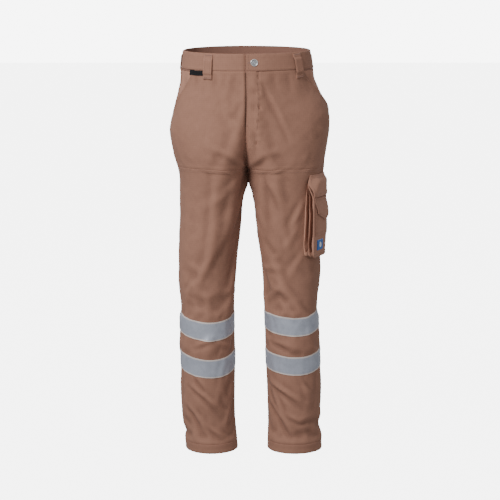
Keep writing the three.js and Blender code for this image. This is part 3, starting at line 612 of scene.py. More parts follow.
    def make(self, name, body, nodes, materials, crisp=38):
        """Makes the piece's object, which rides on its body and stands for its nodes."""
        mesh = bpy.data.meshes.new(name)
        points = np.concatenate(self.points) * MM
        mesh.from_pydata(points.tolist(), [], self.faces)
        for material in materials:
            mesh.materials.append(material)
        corners = np.empty(len(mesh.loops), np.int32)
        mesh.loops.foreach_get("vertex_index", corners)
        layer = mesh.uv_layers.new(name="cloth")
        layer.data.foreach_set("uv", np.concatenate(self.uvs)[corners].ravel())
        # The per-point value the cloth finish reads: above 0 rubbing, below 0 painted shade.
        wear_and_shade = mesh.attributes.new("wear_and_shade", "FLOAT", "POINT")
        wear_and_shade.data.foreach_set("value", np.concatenate(self.wear_and_shade).astype(np.float32))
        mesh.polygons.foreach_set("material_index", np.array(self.kinds, np.int32))
        mesh.shade_smooth()
        mesh.set_sharp_from_angle(angle=math.radians(crisp))
        mesh.update()
        piece = bpy.data.objects.new(name, mesh)
        bpy.context.scene.collection.objects.link(piece)
        if body:
            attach(piece, body)
        if nodes:
            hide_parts(*nodes)
        return piece


def grid_uv(points):
    """Cloth coordinates in metres: along the rows and down the columns."""
    x, y = arc_lengths(points), arc_lengths(points, 0)
    x = x - x[:, x.shape[1] // 2][:, None]
    return np.stack([x, -y], -1) * MM


def edged(length, step, near=EDGE_LINES, start=True, end=True):
    """Distances from 0 to the length, with extra lines beside the sewn edges."""
    head = near if start else near[:1]
    tail = near if end else near[:1]
    room = length - head[-1] - tail[-1]
    count = max(int(round(room / step)), 1)
    inner = head[-1] + room * np.arange(1, count) / count
    return np.concatenate([head, inner, length - tail[::-1]])


def nearest(*distances):
    """Distance to the nearest of some edges."""
    least = distances[0]
    for distance in distances[1:]:
        least = np.minimum(least, distance)
    return least


def stitch_beside(sewn, outer, normals, edges):
    """Two rows of stitches along each named edge of a grid, at its second and fourth lines."""
    lifted = outer + normals * 0.2
    for line in (2, 4):
        rows = {"l": np.s_[:, line], "r": np.s_[:, -1 - line], "t": np.s_[line], "b": np.s_[-1 - line]}
        for edge in edges:
            sewn.stitches(lifted[rows[edge]], normals[rows[edge]])


def seam_relief(distance, height=0.55):
    """A sewn edge: the cloth dips into the seam and stands up over its allowance."""
    allowance = 1 - smoothstep(8.2, 9.8, distance)
    return 0.55 * height * allowance - 0.8 * hump(distance, 0.9)


class Panel:
    """A grid of cloth on the skin between two station lines and two drops."""

    def __init__(self, side, start, stop, top, bottom, seams="lrtb", step=ROW_STEP):
        self.skin = skin_of(side)
        downs = edged(bottom - top, step, start="t" in seams, end="b" in seams)
        self.downs = downs
        drop = top + downs
        first = start(drop) if callable(start) else np.full(drop.shape, float(start))
        last = stop(drop) if callable(stop) else np.full(drop.shape, float(stop))
        probe = np.linspace(0, 1, 25)
        u = first[:, None] + (last - first)[:, None] * probe
        line = self.skin.at(u, np.repeat(drop[:, None], 25, 1))
        width = np.linalg.norm(np.diff(line, axis=1), axis=2).sum(1)
        mean = float(width.mean())
        across = edged(mean, step, start="l" in seams, end="r" in seams)
        left = np.where(across <= EDGE_LINES[-1] + 1e-6, across, np.nan)
        right = np.where(mean - across <= EDGE_LINES[-1] + 1e-6, mean - across, np.nan)
        share = np.repeat((across / mean)[None], len(drop), 0)
        share = np.where(np.isnan(left)[None], share, left / width[:, None])
        share = np.where(np.isnan(right)[None], share, 1 - right / width[:, None])
        self.u = first[:, None] + (last - first)[:, None] * share
        self.drop = np.repeat(drop[:, None], len(across), 1)
        self.across = across
        self.left = share * width[:, None]
        self.right = (1 - share) * width[:, None]
        self.top = np.repeat(downs[:, None], len(across), 1)
        self.bottom = downs[-1] - self.top
        self.relief = np.zeros_like(self.u)
        for name, distance in (("l", self.left), ("r", self.right), ("t", self.top), ("b", self.bottom)):
            if name in seams:
                self.relief += seam_relief(distance)

    def points(self, offset):
        return self.skin.at(self.u, self.drop, self.relief + offset)

    def normals(self):
        return self.skin.normal(self.u, self.drop)

    def wear_and_shade(self):
        # Rubbing at the edges and on ridges above 0; painted shade in the skin's hollows below 0.
        edge = nearest(self.left, self.right, self.top, self.bottom)
        rubbed = hump(edge - 1.5, 1.2) + 0.5 * hump(edge - 8, 1.2)
        return np.clip(0.6 * self.skin.worn(self.u, self.drop) + 0.5 * rubbed, -1, 1)

    def uv(self):
        return np.stack([self.left - self.left[:, :1], -self.drop], -1) * MM

    def join_fork(self, edge):
        """Brings the edges of the two sides together where the legs fork."""
        above = smoothstep(RISE - 86, RISE - 50, self.drop)
        near = above * (1 - smoothstep(RISE + 4, RISE + 27, self.drop))
        self.relief += 2.6 * near * hump(edge, 2.6)

    def sew(self, sewn, offset=0.0, thick=CLOTH_THICK, kind=Sewn.CLOTH):
        outer = self.points(offset)
        inner = self.skin.at(self.u, self.drop, self.relief + offset - thick)
        sewn.slab(outer, inner, self.uv(), self.wear_and_shade(), kind)

    def column_at(self, distance, edge="l"):
        marks = self.across if edge == "l" else self.across[-1] - self.across
        return int(np.argmin(np.abs(marks - distance)))

    def row_at(self, distance, edge="t"):
        marks = self.downs if edge == "t" else self.downs[-1] - self.downs
        return int(np.argmin(np.abs(marks - distance)))

    def topstitch(self, sewn, edges, distances=(1.8, 7.8), offset=0.0, span=(0, None)):
        """Rows of stitches beside the named edges, at the given distances from them."""
        points, normals = self.points(offset + 0.22), self.normals()
        cut = slice(*span)
        for edge in edges:
            for distance in distances:
                if edge in "lr":
                    column = self.column_at(distance, edge)
                    sewn.stitches(points[cut, column], normals[cut, column])
                else:
                    row = self.row_at(distance, edge)
                    sewn.stitches(points[row, cut], normals[row, cut])


def station_from_front(side, drop, distance):
    """The station a distance across from the front edge of a side, at each drop."""
    skin = skin_of(side)
    drop = np.atleast_1d(np.asarray(drop, float))
    u = np.linspace(0, 0.7, 57)
    line = skin.at(np.repeat(u[None], len(drop), 0), np.repeat(drop[:, None], len(u), 1))
    distance = np.broadcast_to(distance, drop.shape)
    return np.array([np.interp(d, arc, u) for d, arc in zip(distance, arc_lengths(line))])


# ---------------------------------------------------------------- finishes


class Nodes:
    """Short ways to lay and link the nodes of one material, or of the room."""

    def __init__(self, tree):
        self.new = tree.nodes.new
        self.link = tree.links.new

    def cloth(self):
        """The cloth's own coordinates, in metres along its threads."""
        node = self.new("ShaderNodeUVMap")
        node.uv_map = "cloth"
        return node.outputs["UV"]

    def place(self):
        return self.new("ShaderNodeTexCoord").outputs["Object"]

    def wave(self, source, direction, period):
        """Ridges one period of metres apart."""
        node = self.new("ShaderNodeTexWave")
        node.wave_type = "BANDS"
        node.bands_direction = direction
        node.inputs["Scale"].default_value = 2 * math.pi / (20 * period)
        self.link(source, node.inputs["Vector"])
        return node.outputs["Fac"]

    def sums(self, operation, first, second):
        node = self.new("ShaderNodeMath")
        node.operation = operation
        for socket, value in zip(node.inputs, (first, second)):
            if isinstance(value, (int, float)):
                socket.default_value = value
            else:
                self.link(value, socket)
        return node.outputs[0]

    def times(self, first, second):
        return self.sums("MULTIPLY", first, second)

    def mixed(self, share, first, second):
        """A colour between two, where each may be a colour or a socket."""
        node = self.new("ShaderNodeMix")
        node.data_type = "RGBA"
        for key, value in (("Factor_Float", share), ("A_Color", first), ("B_Color", second)):
            socket = next(s for s in node.inputs if s.identifier == key)
            if isinstance(value, bpy.types.NodeSocket):
                self.link(value, socket)
            elif key == "Factor_Float":
                socket.default_value = value
            else:
                socket.default_value = (*value[:3], 1)
        return next(s for s in node.outputs if s.identifier == "Result_Color")

    def noise(self, source, scale, detail=3.0, roughness=0.55):
        node = self.new("ShaderNodeTexNoise")
        node.inputs["Scale"].default_value = scale
        node.inputs["Detail"].default_value = detail
        node.inputs["Roughness"].default_value = roughness
        self.link(source, node.inputs["Vector"])
        return node.outputs["Fac"]

    def cells(self, source, scale):
        """Close-set round cells, darkest in their middles."""
        node = self.new("ShaderNodeTexVoronoi")
        node.inputs["Scale"].default_value = scale
        self.link(source, node.inputs["Vector"])
        return node.outputs["Distance"]

    def stretched(self, source, scale):
        node = self.new("ShaderNodeMapping")
        node.inputs["Scale"].default_value = scale
        self.link(source, node.inputs["Vector"])
        return node.outputs["Vector"]

    def remap(self, value, low, high, to_low=0.0, to_high=1.0):
        node = self.new("ShaderNodeMapRange")
        self.link(value, node.inputs["Value"])
        ends = {"From Min": low, "From Max": high, "To Min": to_low, "To Max": to_high}
        for key, number in ends.items():
            node.inputs[key].default_value = number
        return node.outputs["Result"]

    def emboss(self, shader, height, strength, depth):
        """Raises a fine relief, whose depth is in metres."""
        node = self.new("ShaderNodeBump")
        node.inputs["Strength"].default_value = strength
        node.inputs["Distance"].default_value = depth
        self.link(height, node.inputs["Height"])
        self.link(node.outputs["Normal"], shader.inputs["Normal"])


def fresh_material(name):
    material = bpy.data.materials.new(name)
    material.use_nodes = True
    tree = material.node_tree
    return material, Nodes(tree), tree.nodes["Principled BSDF"]


def shade(color, factor):
    return tuple(min(max(c * factor, 0), 1) for c in color[:3])


def woven(name, color, weave=0.00055, ripstop=0.0052, roughness=0.88, bump=0.35, worn=1.3):
    """Plain-weave cloth with a fine ripstop grid, uneven dye, rubbed edges and painted shade in creases
    and hollows.
    """
    if name in bpy.data.materials:
        return bpy.data.materials[name]
    material, lay, shader = fresh_material(name)
    uv, place = lay.cloth(), lay.place()
    broad = lay.remap(lay.noise(place, 7, 4), 0.3, 0.7)
    fine = lay.remap(lay.noise(place, 90, 5, 0.7), 0.3, 0.7)
    slubs = lay.remap(lay.noise(lay.stretched(uv, (1, 0.06, 1)), 900, 2), 0.35, 0.7)
    base = lay.mixed(broad, shade(color, 0.93), shade(color, 1.07))
    base = lay.mixed(lay.times(fine, 0.45), base, shade(color, 0.76))
    base = lay.mixed(lay.times(slubs, 0.22), base, shade(color, 1.22))
    rubbed = lay.new("ShaderNodeAttribute")
    rubbed.attribute_name = "wear_and_shade"
    rubbed = rubbed.outputs["Fac"]
    # Above 0 the value is rubbing on ridges and edges, which lightens the cloth.
    proud = lay.remap(rubbed, 0.05, 1, 0, 0.42)
    # Painted shade: where the value falls below 0, in creases, hollows and the gusset's folds, the cloth
    # is darkened towards a quarter of its colour, as if in shadow.
    painted_shade = lay.remap(rubbed, -1.8, -0.1, 0.8, 0)
    base = lay.mixed(proud, base, shade(color, worn))
    base = lay.mixed(painted_shade, base, shade(color, 0.25))
    threads = lay.sums("MAXIMUM", lay.wave(uv, "X", weave), lay.wave(uv, "Y", weave))
    height = lay.times(threads, 0.35)
    if ripstop:
        ribs = [lay.remap(lay.wave(uv, axis, ripstop), 0.93, 1) for axis in "XY"]
        lines = lay.sums("MAXIMUM", *ribs)
        base = lay.mixed(lay.times(lines, 0.3), base, shade(color, 1.3))
        height = lay.sums("ADD", height, lay.times(lines, 0.5))
    height = lay.sums("ADD", height, lay.times(fine, 0.9))
    lay.emboss(shader, height, bump, 0.0004)
    lay.link(base, shader.inputs["Base Color"])
    lay.link(lay.remap(fine, 0, 1, roughness - 0.05, roughness + 0.07), shader.inputs["Roughness"])
    shader.inputs["Specular IOR Level"].default_value = 0.15
    shader.inputs["Sheen Weight"].default_value = 0.04
    shader.inputs["Sheen Roughness"].default_value = 0.5
    return material


def thread_finish(name, color):
    """Twisted sewing thread."""
    if name in bpy.data.materials:
        return bpy.data.materials[name]
    material, lay, shader = fresh_material(name)
    place = lay.place()
    uneven = lay.remap(lay.noise(place, 220, 2), 0.3, 0.7)
    twist = lay.wave(place, "DIAGONAL", 0.0006)
    base = lay.mixed(uneven, shade(color, 0.85), shade(color, 1.15))
    base = lay.mixed(lay.times(twist, 0.3), base, shade(color, 0.7))
    lay.link(base, shader.inputs["Base Color"])
    lay.emboss(shader, twist, 0.4, 0.0002)
    shader.inputs["Roughness"].default_value = 0.62
    shader.inputs["Sheen Weight"].default_value = 0.1
    return material


def reflective_finish(name, color):
    """Silver film set with glass beads: a fine grain, a faint diagonal, and scuffs."""
    if name in bpy.data.materials:
        return bpy.data.materials[name]
    material, lay, shader = fresh_material(name)
    uv, place = lay.cloth(), lay.place()
    beads = lay.cells(uv, 1500)
    diagonal = lay.remap(lay.wave(uv, "DIAGONAL", 0.0032), 0.72, 1)
    scuffs = lay.remap(lay.noise(place, 45, 6, 0.7), 0.42, 0.66)
    base = lay.mixed(scuffs, shade(color, 1.06), shade(color, 0.86))
    base = lay.mixed(lay.times(diagonal, 0.22), base, shade(color, 0.8))
    base = lay.mixed(lay.times(beads, 0.3), base, shade(color, 1.2))
    lay.link(base, shader.inputs["Base Color"])
    lay.link(lay.remap(scuffs, 0, 1, 0.42, 0.6), shader.inputs["Roughness"])
    height = lay.sums("ADD", beads, lay.times(diagonal, 0.6))
    lay.emboss(shader, height, 0.25, 0.0003)
    shader.inputs["Metallic"].default_value = 0.35
    shader.inputs["Specular IOR Level"].default_value = 0.4
    return material


def metal_finish(name, color, roughness=0.32, grain=260):
    """Worn metal with fine brushing and dulled patches."""
    if name in bpy.data.materials:
        return bpy.data.materials[name]
    material, lay, shader = fresh_material(name)
    place = lay.place()
    brushed = lay.noise(lay.stretched(place, (1, 1, 9)), grain, 4)
    dulled = lay.remap(lay.noise(place, 160, 3), 0.4, 0.65)
    base = lay.mixed(dulled, color, shade(color, 0.72))
    lay.link(base, shader.inputs["Base Color"])
    rough = lay.remap(brushed, 0.2, 0.8, roughness - 0.08, roughness + 0.14)
    lay.link(rough, shader.inputs["Roughness"])
    lay.emboss(shader, brushed, 0.15, 0.0002)
    shader.inputs["Metallic"].default_value = 1
    return material


def moulded_finish(name, color, roughness=0.42):
    """Moulded plastic with a fine pebble."""
    if name in bpy.data.materials:
        return bpy.data.materials[name]
    material, lay, shader = fresh_material(name)
    place = lay.place()
    pebble = lay.noise(place, 700, 3)
    uneven = lay.remap(lay.noise(place, 60, 2), 0.3, 0.7)
    lay.link(lay.mixed(uneven, shade(color, 0.92), shade(color, 1.08)), shader.inputs["Base Color"])
    lay.link(lay.remap(pebble, 0.2, 0.8, roughness - 0.05, roughness + 0.1), shader.inputs["Roughness"])
    lay.emboss(shader, pebble, 0.2, 0.0002)
    return material


def touch_finish(name, color, scale):
    """Hook or loop tape: a dense pile."""
    if name in bpy.data.materials:
        return bpy.data.materials[name]
    material, lay, shader = fresh_material(name)
    pile = lay.cells(lay.cloth(), scale)
    lay.link(lay.mixed(pile, shade(color, 1.6), shade(color, 0.5)), shader.inputs["Base Color"])
    lay.emboss(shader, pile, 0.8, 0.0006)
    shader.inputs["Roughness"].default_value = 0.9
    shader.inputs["Sheen Weight"].default_value = 0.3
    return material


def sewing_thread():
    return thread_finish("brown_thread", settings().thread_color)


def outer_layers():
    """The shell's cloth and its thread."""
    return [woven("ripstop_shell", settings().shell_color), sewing_thread()]


def pocket_layers():
    """The pockets' cloth, a shade lighter than the shell, and its thread."""
    return [woven("ripstop_pocket", shade(settings().shell_color, 1.3)), sewing_thread()]


def lining_layers():
    """The lining's plain cloth and its thread."""
    cloth = woven("plain_lining", settings().lining_color, ripstop=0, worn=1.15)
    return [cloth, sewing_thread()]


# ---------------------------------------------------------------- pieces


def mouth_line(drop):
    """Where the slant pocket's mouth crosses each drop."""
    share = np.clip((drop - BAND_HEIGHT) / (MOUTH_FOOT - BAND_HEIGHT), 0, 1)
    return 0.6 + 0.4 * share


class LegPanels(bpy.types.Operator):
    """Cuts the fronts and backs of both legs and their hems, and topstitches the seams"""

    bl_idname = "trousers.leg_panels"
    bl_label = "Leg panels"

    def execute(self, context):
        finishes = outer_layers()
        for side in SIDES:
            self.upper_front(side, finishes)
            lower = Sewn()
            front = Panel(side, 0, 1, THIGH_SEAM, OUTSEAM - HEM_HEIGHT)
            front.join_fork(front.left)
            front.sew(lower)
            front.topstitch(lower, "t")
            lower.make(f"front_lower_{side}_cloth", "garment",
                       [f"front_lower_{side}"], finishes)
            self.back(side, finishes)
            self.hem(side, finishes)
        return {"FINISHED"}

    def upper_front(self, side, finishes):
        sewn = Sewn()
        front = Panel(side, 0, mouth_line, BAND_HEIGHT, THIGH_SEAM)
        open_part = np.sin(math.pi * np.clip((front.drop - 50) / 120, 0, 1))
        front.relief += 2.6 * open_part * hump(front.right, 12)
        if side == "left":
            overlap = 1 - smoothstep(THIGH_SEAM - 10, THIGH_SEAM, front.drop)
            curve = np.sqrt(np.clip(1 - ((front.drop - FLY_TURN) / 52) ** 2, 0, 1))
            reach = np.where(front.drop < FLY_TURN, FLY_WIDTH, FLY_WIDTH * curve)
            front.relief += 1.5 * overlap * (1 - smoothstep(reach, reach + 7, front.left))
            pucker = 1 + 0.55 * np.sin(front.drop / 3.1) + 0.4 * np.sin(front.drop / 7.3 + 1)
            front.relief -= 2.6 * pucker * hump(front.left - reach + 2, 3.0) * overlap
            front.relief += overlap * 1.15 * hump(front.left, 0.9)
        else:
            above = 1 - 0.8 * smoothstep(190, 250, front.drop)
            front.relief -= 3.4 * above * hump(front.left, 3.2)
        front.join_fork(front.left)
        front.sew(sewn)
        mouth_rows = np.flatnonzero(front.drop[:, 0] < MOUTH_FOOT + 2)[-1]
        front.topstitch(sewn, "r", span=(0, mouth_rows))
        if side == "left":
            for distance in (25.0, 30.5):
                turn = np.linspace(0.03, math.pi / 2, 24)
                curved = FLY_TURN + (distance + 20) * np.sin(turn)
                drop = np.concatenate([np.linspace(BAND_HEIGHT + 1, FLY_TURN, 60), curved])
                away = np.concatenate([np.full(60, distance), distance * np.cos(turn)])
                u = station_from_front(side, drop, np.maximum(away, 0.5))
                sewn.stitches(front.skin.at(u, drop, 1.0), front.skin.normal(u, drop))
            drop = np.linspace(BAND_HEIGHT + 1, 292, 80)
            u = station_from_front(side, drop, np.full(80, 2.2))
            sewn.stitches(front.skin.at(u, drop, 2.2), front.skin.normal(u, drop))
        sewn.make(f"front_upper_{side}_cloth", "garment",
                  [f"front_upper_{side}"], finishes)

    def back(self, side, finishes):
        sewn = Sewn()
        back = Panel(side, 1, 2, BAND_HEIGHT, OUTSEAM - HEM_HEIGHT)
        back.join_fork(back.right)
        back.sew(sewn)
        back.topstitch(sewn, "l")
        crotch = np.flatnonzero(back.drop[:, 0] < RISE)[-1]
        if side == "left":
            back.topstitch(sewn, "r", span=(0, crotch))
        back.topstitch(sewn, "r", span=(crotch, None))
        sewn.make(f"back_{side}_cloth", "garment", [f"back_{side}"], finishes)

    def hem(self, side, finishes):
        sewn = Sewn()
        hem = Panel(side, 0, 2, OUTSEAM - HEM_HEIGHT, OUTSEAM, seams="tb", step=6)
        hem.relief += 1.15 * hump(hem.bottom, 0.9) - 0.9 * hump(hem.bottom, 1.4)
        hem.relief += 0.35 * ripples(hem.left, hem.drop * 0, 31, 14, 30, 8)
        hem.sew(sewn, offset=0.4, thick=3.0)
        hem.topstitch(sewn, "t", distances=(1.8,), offset=0.4)
        sewn.make(f"hem_{side}_cloth", "garment", [f"hem_{side}"], finishes)


def sag(side, u):
    """How much lower a band lies on the front of the leg, and higher behind."""
    middle = 0.42 if side == "right" else 0.62
    front = np.where(u < middle, u / middle, (1 - u) / (1 - middle))
    peak = np.sin(math.pi / 2 * np.clip(front, 0, 1)) ** 1.3
    level = 19 * peak - 8 if side == "right" else 13 * peak - 5.5
    return level + 3 * np.sin(math.pi * np.clip(u - 1, 0, 1))


class ReflectiveBands(bpy.types.Operator):
    """Sews the pale backings and silver bands round both legs"""

    bl_idname = "trousers.reflective_bands"
    bl_label = "Reflective bands"

    def execute(self, context):
        edge = settings().tape_edge * 1000
        pale = woven("band_backing", settings().backing_color, ripstop=0, worn=1.05)
        film = reflective_finish("silver_film", settings().tape_color)
        thread = thread_finish("grey_thread", settings().tape_color)
        for side in SIDES:
            tops = {"upper": UPPER_TAPE[side], "lower": UPPER_TAPE[side] + TAPE_PITCH[side]}
            for place, top in tops.items():
                backing = Sewn()
                strip = Panel(side, 0, 2, top, top + TAPE_WIDTH, seams="", step=5)
                strip.drop = strip.drop + sag(side, strip.u)
                strip.relief += 0.25 * ripples(strip.left, strip.drop, 41 + top, 16, 50, 10)
                strip.sew(backing, offset=1.0, thick=0.8)
                backing.make(f"{place}_backing_{side}", "garment",
                             [f"tape_backing_{place}_{side}"], [pale])
                face = Sewn()
                band = Panel(side, 0, 2, top + edge, top + TAPE_WIDTH - edge, seams="", step=5)
                band.drop = band.drop + sag(side, band.u)
                band.relief += 0.25 * ripples(band.left, band.drop, 41 + top, 16, 50, 10)
                band.relief -= 0.3 * hump(band.top - 2, 1.2)
                band.relief -= 0.3 * hump(band.bottom - 2, 1.2)
                band.sew(face, offset=1.55, thick=0.5)
                points, normals = band.points(1.75), band.normals()
                for row in (1, -2):
                    face.stitches(points[row], normals[row], pitch=3.6, radius=0.28)
                face.make(f"{place}_band_{side}", "garment",
                          [f"reflective_tape_{place}_{side}"], [film, thread])
        return {"FINISHED"}


class Waistband(bpy.types.Operator):
    """Makes the waistband, its lining and the underlap behind the button"""

    bl_idname = "trousers.waistband"
    bl_label = "Waistband"

    def execute(self, context):
        finishes = outer_layers()
        lined = lining_layers()
        for side in SIDES:
            band = Sewn()
            strip = Panel(side, 0, 2, 0, BAND_HEIGHT, seams="tb", step=5)
            puff = np.sin(math.pi * np.clip(strip.top / BAND_HEIGHT, 0, 1)) ** 0.7
            strip.relief += 0.8 * puff - 0.5 * hump(strip.top, 1.5)
            strip.relief += 0.3 * ripples(strip.left, strip.drop, 51, 30, 80, 8)
            near_front = 1 - smoothstep(30, 70, strip.left)
            strip.relief += (1.3 if side == "left" else -0.6) * near_front
            if side == "right":
                strip.relief -= 3.6 * hump(strip.left, 2.6)
            strip.sew(band, offset=BAND_PROUD, thick=2.2)
            strip.topstitch(band, "tb", distances=(1.8,), offset=BAND_PROUD)
            if side == "left":
                points, normals = strip.points(BAND_PROUD + 0.3), strip.normals()
                band.stitches(points[:, 1], normals[:, 1])
                self.buttonhole(band)
            band.make(f"waistband_{side}_cloth", "garment",
                      [f"waistband_{side}"], finishes)
            lining = Sewn()
            inside = Panel(side, 0, 2, 1, BAND_HEIGHT + 5, seams="b", step=6)
            inside.sew(lining, offset=-1.9, thick=1.0)
            points = inside.points(-3.1)
            lining.stitches(points[3], -inside.normals()[3])
            lining.stitches(points[-4], -inside.normals()[-4])
            lining.make(f"waistband_lining_{side}_cloth", "garment",
                        [f"waistband_lining_{side}"], lined)
        self.underlap(lined)
        return {"FINISHED"}

    def buttonhole(self, band):
        """The bar of close stitches that shows beside the button."""
        skin = skin_of("left")
        across = np.linspace(4, 15, 23)
        for row, drop in ((1, 22.6), (-1, 25.4)):
            drops = np.full(across.shape, drop)
            u = station_from_front("left", drops, across)
            middle = skin.at(u, drops, BAND_PROUD + 2.2)
            down = skin.at(u, drops + 2, BAND_PROUD + 2.2) - middle
            down /= np.linalg.norm(down, axis=1)[:, None]
            band.spindles(middle, down, skin.normal(u, drops), 2.6, 0.3)

    def underlap(self, finishes):
        drops = np.linspace(2, BAND_HEIGHT - 2, 10)
        columns = []
        for side, reach in (("right", 30), ("left", 36)):
            skin = skin_of(side)
            spans = np.linspace(0, reach, 9)
            if side == "right":
                spans = spans[::-1][:-1]
            for span in spans:
                u = station_from_front(side, drops, np.full(drops.shape, span))
                columns.append((skin.at(u, drops), skin.normal(u, drops)))
        points = np.stack([c[0] for c in columns], 1)
        normals = np.stack([c[1] for c in columns], 1)
        sewn = Sewn()
        sewn.slab(points - normals * 3.2, points - normals * 4.6)
        for row in (1, -2):
            sewn.stitches(points[row] - normals[row] * 4.8, -normals[row])
        sewn.make("waistband_underlap_cloth", "garment", ["waistband_underlap"], finishes)


LOOP_WIDTH, LOOP_LENGTH, LOOP_TOP, LOOP_FOOT = 25, 64, 3, 9
LOOPS = [
    ("belt_loop_front_left", "left", 0.54),
    ("belt_loop_front_right", "right", 0.408),
    ("belt_loop_side_left", "left", 1.16),
    ("belt_loop_side_right", "right", 1.16),
    ("belt_loop_back_left", "left", 1.58),
    ("belt_loop_back_right", "right", 1.58),
    ("belt_loop_centre_back", "left", 2.0),
]


class BeltLoops(bpy.types.Operator):
    """Folds the seven belt loops and tacks their feet down"""

    bl_idname = "trousers.belt_loops"
    bl_label = "Belt loops"

    def execute(self, context):
        finishes = outer_layers()
        for name, side, station in LOOPS:
            self.loop(name, side, station, finishes)
        return {"FINISHED"}

    def loop(self, name, side, station, finishes):
        skin = skin_of(side)
        probe = lambda u, drop, offset: skin.at(np.array([u]), np.array([float(drop)]), offset)[0]
        top = probe(station, LOOP_TOP, BAND_PROUD + 0.9)
        foot = probe(station, LOOP_TOP + LOOP_LENGTH, 0.9)
        up = (top - foot) / np.linalg.norm(top - foot)
        beside = probe(min(station + 0.03, 2), LOOP_TOP, BAND_PROUD)
        before = probe(station - 0.03, LOOP_TOP, BAND_PROUD)
        across = (before - beside) * SIDES[side]
        across -= (across @ up) * up
        across /= np.linalg.norm(across)
        out = np.cross(up, across)
        if name.endswith("centre_back"):
            across, out = np.array([-1.0, 0, 0]), np.array([0, 1.0, 0])
            out -= (out @ up) * up
            out /= np.linalg.norm(out)
        down = np.concatenate([
            np.linspace(0, LOOP_FOOT, 8), np.linspace(LOOP_FOOT + 0.8, LOOP_FOOT + 6, 7),
            np.linspace(LOOP_FOOT + 8, LOOP_LENGTH - LOOP_FOOT - 8, 16),
            np.linspace(LOOP_LENGTH - LOOP_FOOT - 6, LOOP_LENGTH - LOOP_FOOT - 0.8, 7),
            np.linspace(LOOP_LENGTH - LOOP_FOOT, LOOP_LENGTH, 8),
        ])
        end = np.minimum(down, LOOP_LENGTH - down)
        bow = 3.7 * smoothstep(LOOP_FOOT - 1, LOOP_FOOT + 7, end)
        bow += 0.8 * hump(end - LOOP_FOOT + 2, 3.2)
        bow -= 0.5 * hump(end, 0.9)
        half = LOOP_WIDTH / 2 - 0.35
        x = np.array([-1, -0.97, -0.9, -0.62, -0.3, 0, 0.3, 0.62, 0.9, 0.97, 1]) * half
        crown = 0.45 * (1 - (x / half) ** 8) + 0.35 * hump(np.abs(x) - 8.5, 2.5)
        sway = 0.5 * np.sin(down / 17 + station * 5)
        thick = 1.5 + 0.9 * (end < LOOP_FOOT)

        def place(level):
            return (
                top
                + (x[None, :] + sway[:, None])[..., None] * across
                + (level[:, None] + crown[None, :])[..., None] * out
                - down[:, None, None] * up
            )

        outer, inner = place(bow + 1.2), place(bow + 1.2 - thick)
        sewn = Sewn()
        sewn.slab(outer, inner, wear_and_shade=np.repeat(hump(half - np.abs(x), 1.5)[None], len(down), 0))
        normals = np.broadcast_to(out, (len(down), 3))
        for column in (3, 7):
            sewn.stitches(outer[:, column] + out * 0.15, normals)
        bars = np.arange(-half + 1, half - 0.9, 0.62)
        for bar in (3.4, LOOP_LENGTH - 3.4):
            level = float(np.interp(bar, down, bow)) + 1.2 + 0.55
            for lift in (-0.9, 0.9):
                middle = top + bars[:, None] * across + level * out - (bar + lift) * up
                sewn.spindles(middle, np.broadcast_to(up, middle.shape),
                              np.broadcast_to(out, middle.shape), 2.2, 0.34)
        sewn.make(f"{name}_cloth", "garment", [name], finishes)


# The middle of the button's back, and its directions across, out and up, on the tilted waist.
BUTTON_AT = np.array([18.626, -111.8, -31.659])
BUTTON_X = np.array([-0.99158, -0.1292, -0.00882])
BUTTON_OUT = np.array([0.12809, -0.98856, 0.07962])
BUTTON_UP = np.array([-0.01901, 0.07782, 0.99679])


class Button(bpy.types.Operator):
    """Turns the dished metal button and finishes its tack"""

    bl_idname = "trousers.button"
    bl_label = "Button"

    def execute(self, context):
        rim = metal_finish("button_rim", (0.86, 0.87, 0.88), roughness=0.34)
        dish = metal_finish("button_dish", (0.5, 0.51, 0.53), roughness=0.45)
        radius = settings().button_diameter * 500
        cap = Sewn()
        body = [(0, 0.55), (radius - 0.9, 0.5), (radius - 0.3, 0.75), (radius, 1.3), (radius, 3.0),
                (radius - 0.25, 3.7), (radius - 0.9, 4.05), (radius - 1.6, 4.08), (radius - 2.1, 3.8),
                (radius - 2.35, 3.2), (radius - 2.5, 2.6), (0, 2.45)]
        cap.turned(body, BUTTON_AT, BUTTON_X, BUTTON_OUT, BUTTON_UP, segments=72)
        centre = [(0, 2.3), (radius - 2.55, 2.35), (radius - 2.6, 2.85), (radius - 3.2, 3.05),
                  (radius - 3.6, 2.85), (3.4, 2.75), (3.1, 3.15), (2.5, 3.3), (2.0, 3.15), (1.7, 2.8),
                  (0, 2.75)]
        cap.turned(centre, BUTTON_AT, BUTTON_X, BUTTON_OUT, BUTTON_UP, segments=60, kind=Sewn.THREAD)
        cap.make("button_cap_metal", "button", ["button_cap"], [rim, dish], crisp=50)
        dress("button_tack", metal_finish("tack_brass", (0.42, 0.34, 0.19), roughness=0.4))
        return {"FINISHED"}


def dress(node, material):
    """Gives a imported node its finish."""
    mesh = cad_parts[node].data
    mesh.materials.clear()
    mesh.materials.append(material)


# The top of the zip's middle line, and its directions across, out and up, along the front.
ZIP_AT = np.array([12.962, -114.119, -60.485])
ZIP_X = np.array([-0.99886, -0.04762, -0.00364])
ZIP_OUT = np.array([0.04725, -0.99646, 0.06959])
ZIP_UP = np.array([-0.00694, 0.06934, 0.99757])
ZIP_LENGTH = 134.2
ZIP_LEVEL = -9.75
TOOTH_PITCH = 2.2


def in_zip(x, out, up):
    x, out, up = np.broadcast_arrays(x, out, up)
    return ZIP_AT + x[..., None] * ZIP_X + out[..., None] * ZIP_OUT + up[..., None] * ZIP_UP


